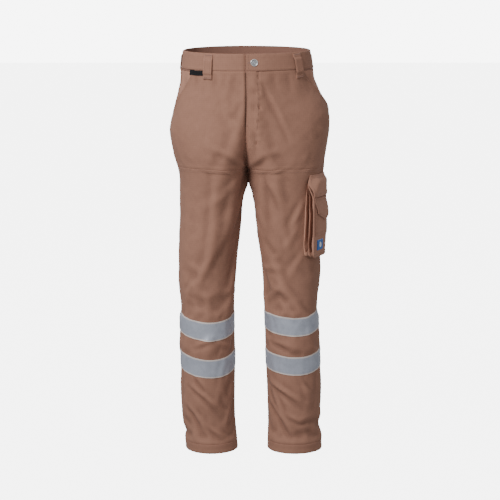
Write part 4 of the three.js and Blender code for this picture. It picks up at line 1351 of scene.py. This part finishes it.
class Fly(bpy.types.Operator):
    """Makes the fly's facing, shield, zip tapes and teeth, and finishes the slider"""

    bl_idname = "trousers.fly"
    bl_label = "Fly"

    def execute(self, context):
        lined = lining_layers()
        tape = [woven("zip_tape", (0.11, 0.07, 0.05), weave=0.0004, ripstop=0), sewing_thread()]
        brass = metal_finish("zip_brass", (0.3, 0.24, 0.13), roughness=0.38)
        self.strip("fly_facing", (-19, 13.5), (-4.7, -3.9), lined, "lining_cloth")
        self.strip("fly_shield", (-17, 25), (-14.8, -13.8), lined, "lining_cloth")
        wall = (-10.05, -9.45)
        self.strip("zip_tape_left", (-13, -3), wall, tape, "zip_tape_cloth", fold=(-12.6, -5.2))
        self.strip("zip_tape_right", (3, 25), wall, tape, "zip_tape_cloth", fold=(24.6, -3.8))
        for side, hand in (("left", -1), ("right", 1)):
            self.teeth(side, hand, brass)
        for node in ("zip_slider", "zip_pull", "zip_bottom_stop"):
            dress(node, brass)
        return {"FINISHED"}

    def strip(self, node, across, wall, finishes, slot, fold=None):
        x = across[0] + edged(across[1] - across[0], 4, near=EDGE_LINES[:3])
        up = -edged(ZIP_LENGTH, 6, near=EDGE_LINES[:3])
        x, up = np.meshgrid(x, up)
        soft = 0.15 * np.sin(up / 9 + x / 5)
        sewn = Sewn()
        outer = in_zip(x, wall[1] + soft, up)
        sewn.slab(outer, in_zip(x, wall[0] + soft, up))
        out = np.broadcast_to(ZIP_OUT, outer[:, 0].shape)
        for column in (2, -3):
            sewn.stitches(outer[:, column] + ZIP_OUT * 0.2, out)
        if fold:
            z = np.linspace(0, -ZIP_LENGTH, 24)
            level = np.linspace(wall[1], fold[1], 4)
            level, z = np.meshgrid(level, z)
            sewn.slab(in_zip(fold[0] - 0.35, level, z), in_zip(fold[0] + 0.35, level, z))
        sewn.make(f"{node}_cloth", "garment", [node], finishes)

    def teeth(self, side, hand, brass):
        sewn = Sewn()
        shift = TOOTH_PITCH / 2 if hand > 0 else 0
        for up in np.arange(-2 - shift, 9 - ZIP_LENGTH, -TOOTH_PITCH):
            x = np.array([0.75, 1.0, 2.5, 2.7]) * hand
            height = np.array([0.75, 1.1, 1.1, 0.8])
            z = np.array([-0.55, -0.4, 0.4, 0.55])
            grid_x, grid_z = np.meshgrid(x, z)
            level = height[None, :] * np.array([0.7, 1, 1, 0.7])[:, None]
            front = in_zip(grid_x, ZIP_LEVEL + level, up + grid_z)
            sewn.slab(front, in_zip(grid_x, ZIP_LEVEL - level, up + grid_z))
        sewn.make(f"zip_teeth_{side}_metal", "garment", [f"zip_teeth_{side}"], [brass])


class HipPockets(bpy.types.Operator):
    """Sets the slant pockets' facings and bags behind their mouths"""

    bl_idname = "trousers.hip_pockets"
    bl_label = "Hip pockets"

    def execute(self, context):
        outer = pocket_layers()
        lined = lining_layers()
        for side in SIDES:
            facing = Sewn()
            panel = Panel(side, 0.5, 1, HIP_POCKET_TOP, HIP_FACING_FOOT, seams="r")
            panel.sew(facing, offset=-1.7, thick=1.0)
            facing.make(f"hip_facing_{side}_cloth", "garment",
                        [f"hip_pocket_facing_{side}"], outer)
            bag = Sewn()
            panel = Panel(side, 0.375, 1, HIP_POCKET_TOP, HIP_BAG_FOOT, seams="lb", step=6)
            panel.sew(bag, offset=-4.2, thick=1.0)
            panel.topstitch(bag, "lb", distances=(1.8,), offset=-5.5)
            bag.make(f"hip_bag_{side}_cloth", "garment",
                     [f"hip_pocket_bag_{side}"], lined)
        return {"FINISHED"}


class RearPockets(bpy.types.Operator):
    """Sews on the two rear pockets and their flaps"""

    bl_idname = "trousers.rear_pockets"
    bl_label = "Rear pockets"

    def execute(self, context):
        finishes = pocket_layers()
        for side in SIDES:
            pocket = Sewn()
            panel = Panel(side, *REAR_POCKET)
            across = np.clip(panel.left / (panel.left + panel.right), 0, 1)
            down = panel.top / (REAR_POCKET[3] - REAR_POCKET[2])
            panel.relief += 0.8 * np.sin(math.pi * down) * np.sin(math.pi * across)
            panel.sew(pocket, offset=1.9, thick=1.2)
            panel.topstitch(pocket, "lrb", offset=1.9)
            pocket.make(f"rear_pocket_{side}_cloth", "garment",
                        [f"rear_pocket_{side}"], finishes)
            flap = Sewn()
            panel = Panel(side, *REAR_FLAP)
            waves = ripples(panel.left, panel.drop, 61, 30, 70, 6)
            panel.relief += 0.5 * waves * smoothstep(5, 30, panel.top)
            panel.relief -= 1.4 * (1 - smoothstep(0, 14, panel.top))
            panel.relief += 0.9 * smoothstep(30, 50, panel.top)
            panel.sew(flap, offset=3.9, thick=1.2)
            panel.topstitch(flap, "lrtb", offset=3.9)
            piece = flap.make(f"rear_flap_{side}_cloth", None,
                              [f"rear_flap_{side}"], finishes)
            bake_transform(piece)
        return {"FINISHED"}


class SideLabel(bpy.types.Operator):
    """Sews the plain woven label under the waistband"""

    bl_idname = "trousers.side_label"
    bl_label = "Side label"

    def execute(self, context):
        black = woven("label_weave", (0.012, 0.012, 0.014), weave=0.0004, ripstop=0, bump=0.5)
        sewn = Sewn()
        panel = Panel("right", *SIDE_LABEL, seams="", step=4)
        panel.relief -= 0.5 * hump(panel.left, 1.2) + 0.5 * hump(panel.right, 1.2)
        panel.sew(sewn, offset=1.5, thick=0.9)
        points, normals = panel.points(1.6), panel.normals()
        for column in (2, -3):
            sewn.stitches(points[:, column], normals[:, column], pitch=2.6, length=2.0, radius=0.25)
        sewn.make("side_label_cloth", "garment", ["side_label"],
                  [black, thread_finish("black_thread", (0.02, 0.02, 0.022))])
        return {"FINISHED"}


# The cargo pocket's own frame stands upright and faces out from the left thigh. Its top, foot
# and face, and those of its flap and the phone pocket, are drops and distances in it.
POCKET_ORIGIN = np.array([110.0, 3.0, 0.0])
POCKET_FRONT = np.array([-0.37461, -0.92718, 0.0])
POCKET_OUT = np.array([0.92718, -0.37461, 0.0])
FACE = 99.0
POCKET_HALF = 73.0
POCKET_TOP, POCKET_FOOT = 345, 541
POCKET_CORNER = 13.0  # radius of the pocket's lower corners
GUSSET_INSET = 11.0
FLAP_TOP, FLAP_LENGTH = 323, 57
FLAP_HALF, FLAP_ROOT_HALF = 74.5, 60
FLAP_LEVEL, FLAP_HINGE_OUT = 103.3, 96.24
PHONE_TOP, PHONE_HEIGHT = 396, 88
PHONE_BACK, PHONE_FRONT = -46, 62
PHONE_FLAP_TOP, PHONE_FLAP_LENGTH = 383, 62
PHONE_FLAP_BACK, PHONE_FLAP_WIDTH = -54, 124
_leg_depths = {}


def in_pocket(x, out, drop):
    """Points from the cargo pocket's own frame: x to the front, out of the pocket, and down."""
    x, out, drop = np.broadcast_arrays(x, out, drop)
    points = POCKET_ORIGIN + x[..., None] * POCKET_FRONT + out[..., None] * POCKET_OUT
    points[..., 2] -= drop
    return points


def leg_depth(x, drop):
    """How far out the leg's cloth lies behind a point of the cargo pocket."""
    if "grid" not in _leg_depths:
        skin = skin_of("left")
        rows = (skin.drops > 300) & (skin.drops < 580)
        local = skin.points[rows] - POCKET_ORIGIN
        along, out = local @ POCKET_FRONT, local @ POCKET_OUT
        marks = np.arange(-92, 93, 2.0)
        table = []
        for a, o in zip(along, out):
            near = o > 20
            order = np.argsort(a[near])
            table.append(np.interp(marks, a[near][order], o[near][order]))
        _leg_depths["grid"] = (skin.drops[rows], marks, np.array(table))
    drops, marks, table = _leg_depths["grid"]
    x, drop = np.broadcast_arrays(np.asarray(x, float), np.asarray(drop, float))
    row = np.clip((drop - drops[0]) / (drops[1] - drops[0]), 0, len(drops) - 1.001)
    column = np.clip((x - marks[0]) / 2.0, 0, len(marks) - 1.001)
    return between(table, row, column)


def pocket_half(drop, inset=0.0):
    """Half width of the pocket's face, which turns in at its lower corners."""
    corner = POCKET_CORNER
    rest = np.clip(POCKET_FOOT - inset - drop, 0, corner)
    return POCKET_HALF - inset - (corner - np.sqrt(np.maximum(corner**2 - (corner - rest) ** 2, 0)))


def touch_strip():
    """The grid that the hook strip and the loop strip share."""
    return np.meshgrid(np.linspace(-48, 48, 30), np.linspace(353, 369, 8))


def wrap(x):
    """How far the pocket's cloth turns in round the leg towards its back end."""
    return 21 * np.clip((-10 - x) / 63, 0, 1.1) ** 1.35


def face_level(x, drop):
    """How far out the pocket's face lies: held in under the flap, softly filled below."""
    down = smoothstep(POCKET_TOP + 27, POCKET_TOP + 95, drop)
    down = down * (1 - smoothstep(POCKET_FOOT - 41, POCKET_FOOT, drop))
    fill = 1 - (np.abs(x) / POCKET_HALF) ** 3
    tuck = 15 * smoothstep(35, POCKET_HALF, x)
    tuck = tuck * (1 - smoothstep(POCKET_TOP + 2, POCKET_TOP + 43, drop))
    swell = 2.4 * down * fill + 0.9 * np.sin(drop / 17 + x / 24) * down * fill
    return FACE - wrap(x) - tuck + swell


class CargoPocket(bpy.types.Operator):
    """Makes the cargo pocket's face, its pleated gusset and the hook strip"""

    bl_idname = "trousers.cargo_pocket"
    bl_label = "Cargo pocket"

    def execute(self, context):
        finishes = pocket_layers()
        sewn = Sewn()
        self.face(sewn)
        self.gusset(sewn)
        sewn.make("cargo_pocket_cloth", "garment", ["cargo_pocket"], finishes)
        strip = Sewn()
        x, drop = touch_strip()
        level = face_level(x, drop)
        strip.slab(in_pocket(x, level + 1.2, drop), in_pocket(x, level + 0.3, drop))
        strip.make("hook_strip", "garment", ["cargo_hook_tape"],
                   [touch_finish("hook_pile", (0.014, 0.013, 0.013), 900)])
        return {"FINISHED"}

    def face(self, sewn):
        downs = edged(POCKET_FOOT - POCKET_TOP, 5)
        drop = POCKET_TOP + downs
        half = pocket_half(drop)
        shares = edged(2 * POCKET_HALF, 5)
        x = (shares[None, :] / POCKET_HALF - 1) * half[:, None]
        drop = np.repeat(drop[:, None], len(shares), 1)
        edge = nearest(shares, 2 * POCKET_HALF - shares, POCKET_FOOT - drop)
        level = face_level(x, drop) - 1.6 * hump(edge, 1.4)
        level = level + 0.5 * (1 - smoothstep(7.8, 9.6, edge))
        outer = in_pocket(x, level, drop)
        wear_and_shade = hump(edge - 1.5, 1.4) * 0.8
        sewn.slab(outer, in_pocket(x, level - 1.2, drop), wear_and_shade=wear_and_shade)
        out = np.broadcast_to(POCKET_OUT, outer.shape)
        stitch_beside(sewn, outer, out, "lrb")
        top = int(np.argmin(np.abs(downs - 22)))
        sewn.stitches(outer[top] + out[top] * 0.2, out[top])

    def gusset(self, sewn):
        """The folded strip round both ends and the foot, from the face back to the leg."""
        corner, end, foot = POCKET_CORNER, 48, 30
        turn = np.linspace(0, math.pi / 2, 10)[1:-1]
        down = np.linspace(POCKET_TOP + 2, POCKET_FOOT - corner, end)
        flat = np.linspace(POCKET_HALF - corner, corner - POCKET_HALF, foot)
        x = np.concatenate([
            np.full(end, POCKET_HALF), POCKET_HALF - corner + corner * np.cos(turn), flat,
            corner - POCKET_HALF - corner * np.sin(turn), np.full(end, -POCKET_HALF),
        ]) * 0.985
        drop = np.concatenate([
            down, POCKET_FOOT - corner + corner * np.sin(turn), np.full(foot, POCKET_FOOT),
            POCKET_FOOT - corner + corner * np.cos(turn), down[::-1],
        ])
        normal = np.concatenate([
            np.tile([1.0, 0], (end, 1)), np.stack([np.cos(turn), np.sin(turn)], -1),
            np.tile([0, 1.0], (foot, 1)), np.stack([-np.sin(turn), np.cos(turn)], -1),
            np.tile([-1.0, 0], (end, 1)),
        ])
        share = np.linspace(0, 1, 45)[None]
        along = np.arange(len(x))[:, None]
        sway = 0.045 * np.sin(along / 5.3) + 0.02 * np.sin(along / 2.1 + 1)
        crease = 0
        for middle, wander in ((0.27, 1.3), (0.7, 0.7)):
            crease = crease + np.exp(-((np.abs(share - (middle + wander * sway)) / 0.12) ** 3))
        across, down = normal[:, :1], normal[:, 1:]
        side = np.abs(across)
        inset = GUSSET_INSET * share * (0.35 + 0.65 * side) + (3.0 + 21 * side**2) * crease
        folded_x = x[:, None] - across * inset
        folded_drop = drop[:, None] - down * inset
        root = leg_depth(folded_x[:, -1:], folded_drop[:, -1:]) + 0.6
        start = face_level(x, drop)[:, None] - 1.6
        behind = leg_depth(folded_x, folded_drop) + 0.5
        level = np.maximum(start + (root - start) * share, np.minimum(behind, start))
        outer = in_pocket(folded_x, level, folded_drop)
        inner = in_pocket(folded_x - across, level, folded_drop - down)
        # Painted shade in the gusset's two folds, darkest in their middles; the rest of the strip is a
        # little lighter.
        sewn.slab(outer, inner, wear_and_shade=np.clip(0.4 - crease * 2.2, -1.8, 0.4))


class CargoFlap(bpy.types.Operator):
    """Makes the cargo pocket's flap, sewn to the leg at its root, and its loop strip"""

    bl_idname = "trousers.cargo_flap"
    bl_label = "Cargo flap"

    def execute(self, context):
        sewn = Sewn()
        downs = edged(FLAP_LENGTH, 4)
        half = FLAP_ROOT_HALF + (FLAP_HALF - FLAP_ROOT_HALF) * smoothstep(0, 27, downs)
        shares = edged(2 * FLAP_HALF, 5)
        x = (shares[None] / FLAP_HALF - 1) * half[:, None]
        down = np.repeat(downs[:, None], len(shares), 1)
        drop = FLAP_TOP + down
        root = leg_depth(x, drop) + 2.2
        hang = FLAP_LEVEL + 0.9 * np.sin(x / 21) * smoothstep(25, FLAP_LENGTH, down)
        hang += 1.2 * smoothstep(30, FLAP_LENGTH, down) - 3.5 * smoothstep(52, 75, np.abs(x)) ** 1.5
        hang -= wrap(x)
        level = root + (hang - root) * smoothstep(0, 1, down / (20 + 28 * smoothstep(30, 74, x)))
        edge = nearest(shares, 2 * FLAP_HALF - shares, down, FLAP_LENGTH - down)
        level = level + seam_relief(edge, 0.5)
        outer = in_pocket(x, level, drop)
        normals = grid_normals(outer, np.broadcast_to(POCKET_OUT, outer.shape))
        inner = outer - normals * 1.3
        wear_and_shade = hump(edge - 1.2, 1.4) * 0.9
        sewn.slab(outer, inner, wear_and_shade=wear_and_shade)
        stitch_beside(sewn, outer, normals, "lrtb")
        flap = sewn.make("cargo_flap_cloth", None, ["cargo_flap_root", "cargo_flap"],
                         pocket_layers())
        hinge = in_pocket(0.0, FLAP_HINGE_OUT, FLAP_TOP + 3) * MM
        lower = in_pocket(0.0, FLAP_HINGE_OUT, FLAP_TOP + 18) * MM
        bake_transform(flap)
        strip = Sewn()
        x, drop = touch_strip()
        level = 101.5 - wrap(x)
        strip.slab(in_pocket(x, level, drop), in_pocket(x, level - 0.9, drop))
        strip.make("loop_strip", "cargo_flap_body", ["cargo_loop_tape"],
                   [touch_finish("loop_pile", (0.02, 0.018, 0.018), 600)])
        return {"FINISHED"}


class PhonePocket(bpy.types.Operator):
    """Makes the phone pocket on the cargo pocket's face and its pointed flap"""

    bl_idname = "trousers.phone_pocket"
    bl_label = "Phone pocket"

    def execute(self, context):
        finishes = pocket_layers()
        patch = Sewn()
        shares, downs = edged(PHONE_FRONT - PHONE_BACK, 4), edged(PHONE_HEIGHT, 4)
        x, down = np.meshgrid(shares + PHONE_BACK, downs)
        drop = PHONE_TOP + down
        edge = nearest(x - PHONE_BACK, PHONE_FRONT - x, down, PHONE_HEIGHT - down)
        level = face_level(x, drop) + 1.5 + 1.6 * smoothstep(0, 26, edge) + seam_relief(edge, 0.4)
        outer = in_pocket(x, level, drop)
        inner = in_pocket(x, level - CLOTH_THICK, drop)
        patch.slab(outer, inner, wear_and_shade=0.8 * hump(edge - 1.2, 1.4))
        stitch_beside(patch, outer, np.broadcast_to(POCKET_OUT, outer.shape), "lrb")
        patch.make("phone_pocket_cloth", "garment", ["phone_pocket"], finishes)
        self.flap(finishes)
        return {"FINISHED"}

    def flap(self, finishes):
        sewn = Sewn()
        width, length = PHONE_FLAP_WIDTH, PHONE_FLAP_LENGTH
        shares, lengths = edged(width, 4), edged(length, 3.5)
        t = shares / width
        foot = PHONE_FLAP_TOP + 41 + 21 * (1 - np.abs(2 * t - 1)) ** 0.9
        share = (lengths / length)[:, None]
        drop = PHONE_FLAP_TOP + (foot - PHONE_FLAP_TOP)[None] * share
        down = drop - PHONE_FLAP_TOP
        taper = 12 * smoothstep(0, 41, down)
        x = PHONE_FLAP_BACK + taper + (width - 2 * taper) * t[None]
        lift = 1.8 + 8.2 * smoothstep(2, 40, down) + 0.8 * np.sin(x / 13 + 1) * share
        lift -= 1.6 * smoothstep(0.35, 0.5, np.abs(t - 0.5))[None] * share
        edge = nearest(shares[None], width - shares[None], lengths[:, None], length - lengths[:, None])
        level = FACE - wrap(x) + lift + seam_relief(edge, 0.45)
        outer = in_pocket(x, level, drop)
        normals = grid_normals(outer, np.broadcast_to(POCKET_OUT, outer.shape))
        sewn.slab(outer, outer - normals * 1.3, wear_and_shade=0.9 * hump(edge - 1.2, 1.4))
        stitch_beside(sewn, outer, normals, "lrtb")
        piece = sewn.make("phone_flap_cloth", None, ["phone_flap"], finishes)
        hinge = in_pocket(8.0, FACE + 0.3, PHONE_FLAP_TOP + 1) * MM
        lower = in_pocket(8.0, FACE + 0.3, PHONE_FLAP_TOP + 11) * MM
        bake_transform(piece)


class Badge(bpy.types.Operator):
    """Moulds the plain blue badge near the cargo pocket's foot"""

    bl_idname = "trousers.badge"
    bl_label = "Badge"

    def execute(self, context):
        low, high = 9.0, 51.0
        top, foot = 495.0, 522.0
        sewn = Sewn()
        shares = edged(high - low, 3, near=EDGE_LINES[:4])
        downs = edged(foot - top, 3, near=EDGE_LINES[:4])
        x, down = np.meshgrid(low + shares, downs)
        drop = top + down
        edge = nearest(x - low, high - x, down, foot - top - down)
        rim = 0.5 * hump(edge - 1.4, 0.8) + 0.5 * smoothstep(0, 0.8, edge)
        level = face_level(x, drop) + 1.0 + rim
        sewn.slab(in_pocket(x, level, drop), in_pocket(x, level - rim - 0.9, drop))
        x, drop = (low + high) / 2, (top + foot) / 2
        middle = in_pocket(x, face_level(x, drop) + 1.2, drop)
        up = np.array([0.0, 0, 1])
        sewn.turned([(0, 0), (7.0, 0), (7.4, 0.4), (7.0, 0.9), (5.2, 0.95), (4.8, 0.6), (0, 0.6)],
                    middle, POCKET_FRONT, POCKET_OUT, up, kind=Sewn.THREAD)
        sewn.make("badge_moulding", "garment", ["badge"],
                  [moulded_finish("badge_blue", settings().badge_color),
                   moulded_finish("badge_pale", (0.75, 0.78, 0.8))])
        return {"FINISHED"}


class Studio(bpy.types.Operator):
    """Sets the pale floor, the soft lights and the camera"""

    bl_idname = "trousers.studio"
    bl_label = "Studio"

    def execute(self, context):
        mesh = bpy.data.meshes.new("floor")
        reach, level = 40.0, -OUTSEAM * MM - 0.02
        corners = [(x * reach, y * reach, level) for x, y in ((-1, -1), (1, -1), (1, 1), (-1, 1))]
        mesh.from_pydata(corners, [], [(0, 1, 2, 3)])
        floor = bpy.data.objects.new("floor", mesh)
        context.scene.collection.objects.link(floor)
        material, lay, shader = fresh_material("pale_floor")
        place = lay.place()
        tone = lay.remap(lay.noise(place, 3, 2), 0.3, 0.7)
        lay.link(lay.mixed(tone, (0.9, 0.9, 0.9), (0.93, 0.93, 0.93)), shader.inputs["Base Color"])
        shader.inputs["Roughness"].default_value = 0.9
        shader.inputs["Alpha"].default_value = settings().floor_weight
        mesh.materials.append(material)
        world = bpy.data.worlds.new("soft_room")
        world.use_nodes = True
        context.scene.world = world
        lay = Nodes(world.node_tree)
        room = world.node_tree.nodes["Background"]
        room.inputs["Color"].default_value = (1, 1, 1, 1)
        seen = lay.new("ShaderNodeLightPath").outputs["Is Camera Ray"]
        strength = lay.sums("ADD", lay.times(seen, settings().backdrop), settings().room_light)
        lay.link(strength, room.inputs["Strength"])
        self.lamp("key", (-1.5, -2.05, 1.6), 1.2, settings().key_power)
        self.lamp("fill", (2.2, -2.8, 0.5), 2.2, settings().key_power * 0.12)
        self.lamp("rim", (-1.5, 3.0, 1.4), 2.0, settings().key_power * 0.3)
        self.lamp("rim_other", (2.0, 2.8, 1.0), 2.0, settings().key_power * 0.25)
        self.camera(context)
        return {"FINISHED"}

    def lamp(self, name, place, size, power):
        light = bpy.data.lights.new(name, "AREA")
        light.shape = "DISK"
        light.size = size
        light.energy = power
        lamp = bpy.data.objects.new(name, light)
        lamp.location = place
        aim = Vector((0, 0, -0.5)) - Vector(place)
        lamp.rotation_euler = aim.to_track_quat("-Z", "Y").to_euler()
        bpy.context.scene.collection.objects.link(lamp)

    def camera(self, context):
        data = bpy.data.cameras.new("camera")
        data.angle = math.radians(18.82)
        camera = bpy.data.objects.new("camera", data)
        camera.location = (0.008, -4.0, 0.072)
        camera.rotation_euler = (math.radians(90 - 8.6), 0, 0)
        context.scene.collection.objects.link(camera)
        context.scene.camera = camera


PIECES = [
    LegPanels, ReflectiveBands, Waistband, BeltLoops, Button, Fly, HipPockets, RearPockets,
    SideLabel, CargoPocket, CargoFlap, PhonePocket, Badge,
]


class TrousersSettings(bpy.types.PropertyGroup):
    """Sizes and colours of the trousers and the studio"""

    shell_color: bpy.props.FloatVectorProperty(
        name="Shell", description="Colour of the outer cloth", subtype="COLOR",
        default=(0.33, 0.17, 0.12), min=0, max=1)
    lining_color: bpy.props.FloatVectorProperty(
        name="Lining", description="Colour of the lining and the fly's inner pieces", subtype="COLOR",
        default=(0.29, 0.15, 0.112), min=0, max=1)
    thread_color: bpy.props.FloatVectorProperty(
        name="Thread", description="Colour of the topstitching", subtype="COLOR",
        default=(0.335, 0.18, 0.138), min=0, max=1)
    tape_color: bpy.props.FloatVectorProperty(
        name="Reflective band", description="Colour of the silver film", subtype="COLOR",
        default=(0.43, 0.455, 0.53), min=0, max=1)
    backing_color: bpy.props.FloatVectorProperty(
        name="Band edge", description="Colour of the pale backing", subtype="COLOR",
        default=(0.72, 0.64, 0.6), min=0, max=1)
    badge_color: bpy.props.FloatVectorProperty(
        name="Badge", description="Colour of the moulded badge", subtype="COLOR",
        default=(0.005, 0.13, 0.48), min=0, max=1)
    tape_edge: bpy.props.FloatProperty(
        name="Band edge width", description="Pale edge left beside the silver film",
        default=0.0035, min=0, max=0.01, subtype="DISTANCE", unit="LENGTH")
    button_diameter: bpy.props.FloatProperty(
        name="Button", description="Diameter of the waist button",
        default=0.0192, min=0.01, max=0.03, subtype="DISTANCE", unit="LENGTH")
    crease_depth: bpy.props.FloatProperty(
        name="Creases", description="How deep the worn creases are, as a share of the usual",
        default=1.5, min=0, max=3)
    cloth_ease: bpy.props.FloatProperty(
        name="Ease", description="How much longer the cloth is than the form it settles on",
        default=0.03, min=0, max=0.1)
    settle_frames: bpy.props.IntProperty(
        name="Settling", description="Frames the cloth is given to settle", default=16, min=2, max=60)
    key_power: bpy.props.FloatProperty(
        name="Key light", description="Power of the main light", default=95, min=0, unit="POWER")
    room_light: bpy.props.FloatProperty(
        name="Room light", description="Strength of the even light all round", default=0.33, min=0)
    backdrop: bpy.props.FloatProperty(
        name="Backdrop", description="How bright the room looks behind the trousers", default=7, min=0)
    floor_weight: bpy.props.FloatProperty(
        name="Floor", description="How solid the pale floor looks", default=0.2, min=0, max=1)


class TrousersPanel(bpy.types.Panel):
    """Lists the pieces and their settings"""

    bl_idname = "TROUSERS_PT_pieces"
    bl_label = "Work trousers"
    bl_space_type = "VIEW_3D"
    bl_region_type = "UI"
    bl_category = "Trousers"

    def draw(self, context):
        layout = self.layout
        for name in TrousersSettings.__annotations__:
            layout.prop(context.scene.work_trousers, name)
        for piece in [*PIECES, Studio]:
            layout.operator(piece.bl_idname)


CLASSES = [TrousersSettings, *PIECES, Studio, TrousersPanel]


def register():
    for item in CLASSES:
        bpy.utils.register_class(item)
    bpy.types.Scene.work_trousers = bpy.props.PointerProperty(type=TrousersSettings)


def unregister():
    del bpy.types.Scene.work_trousers
    for item in reversed(CLASSES):
        bpy.utils.unregister_class(item)


def main():
    register()
    bpy.ops.trousers.studio()
    for piece in PIECES:
        group, name = piece.bl_idname.split(".")
        getattr(getattr(bpy.ops, group), name)()


if __name__ == "__main__":
    main()
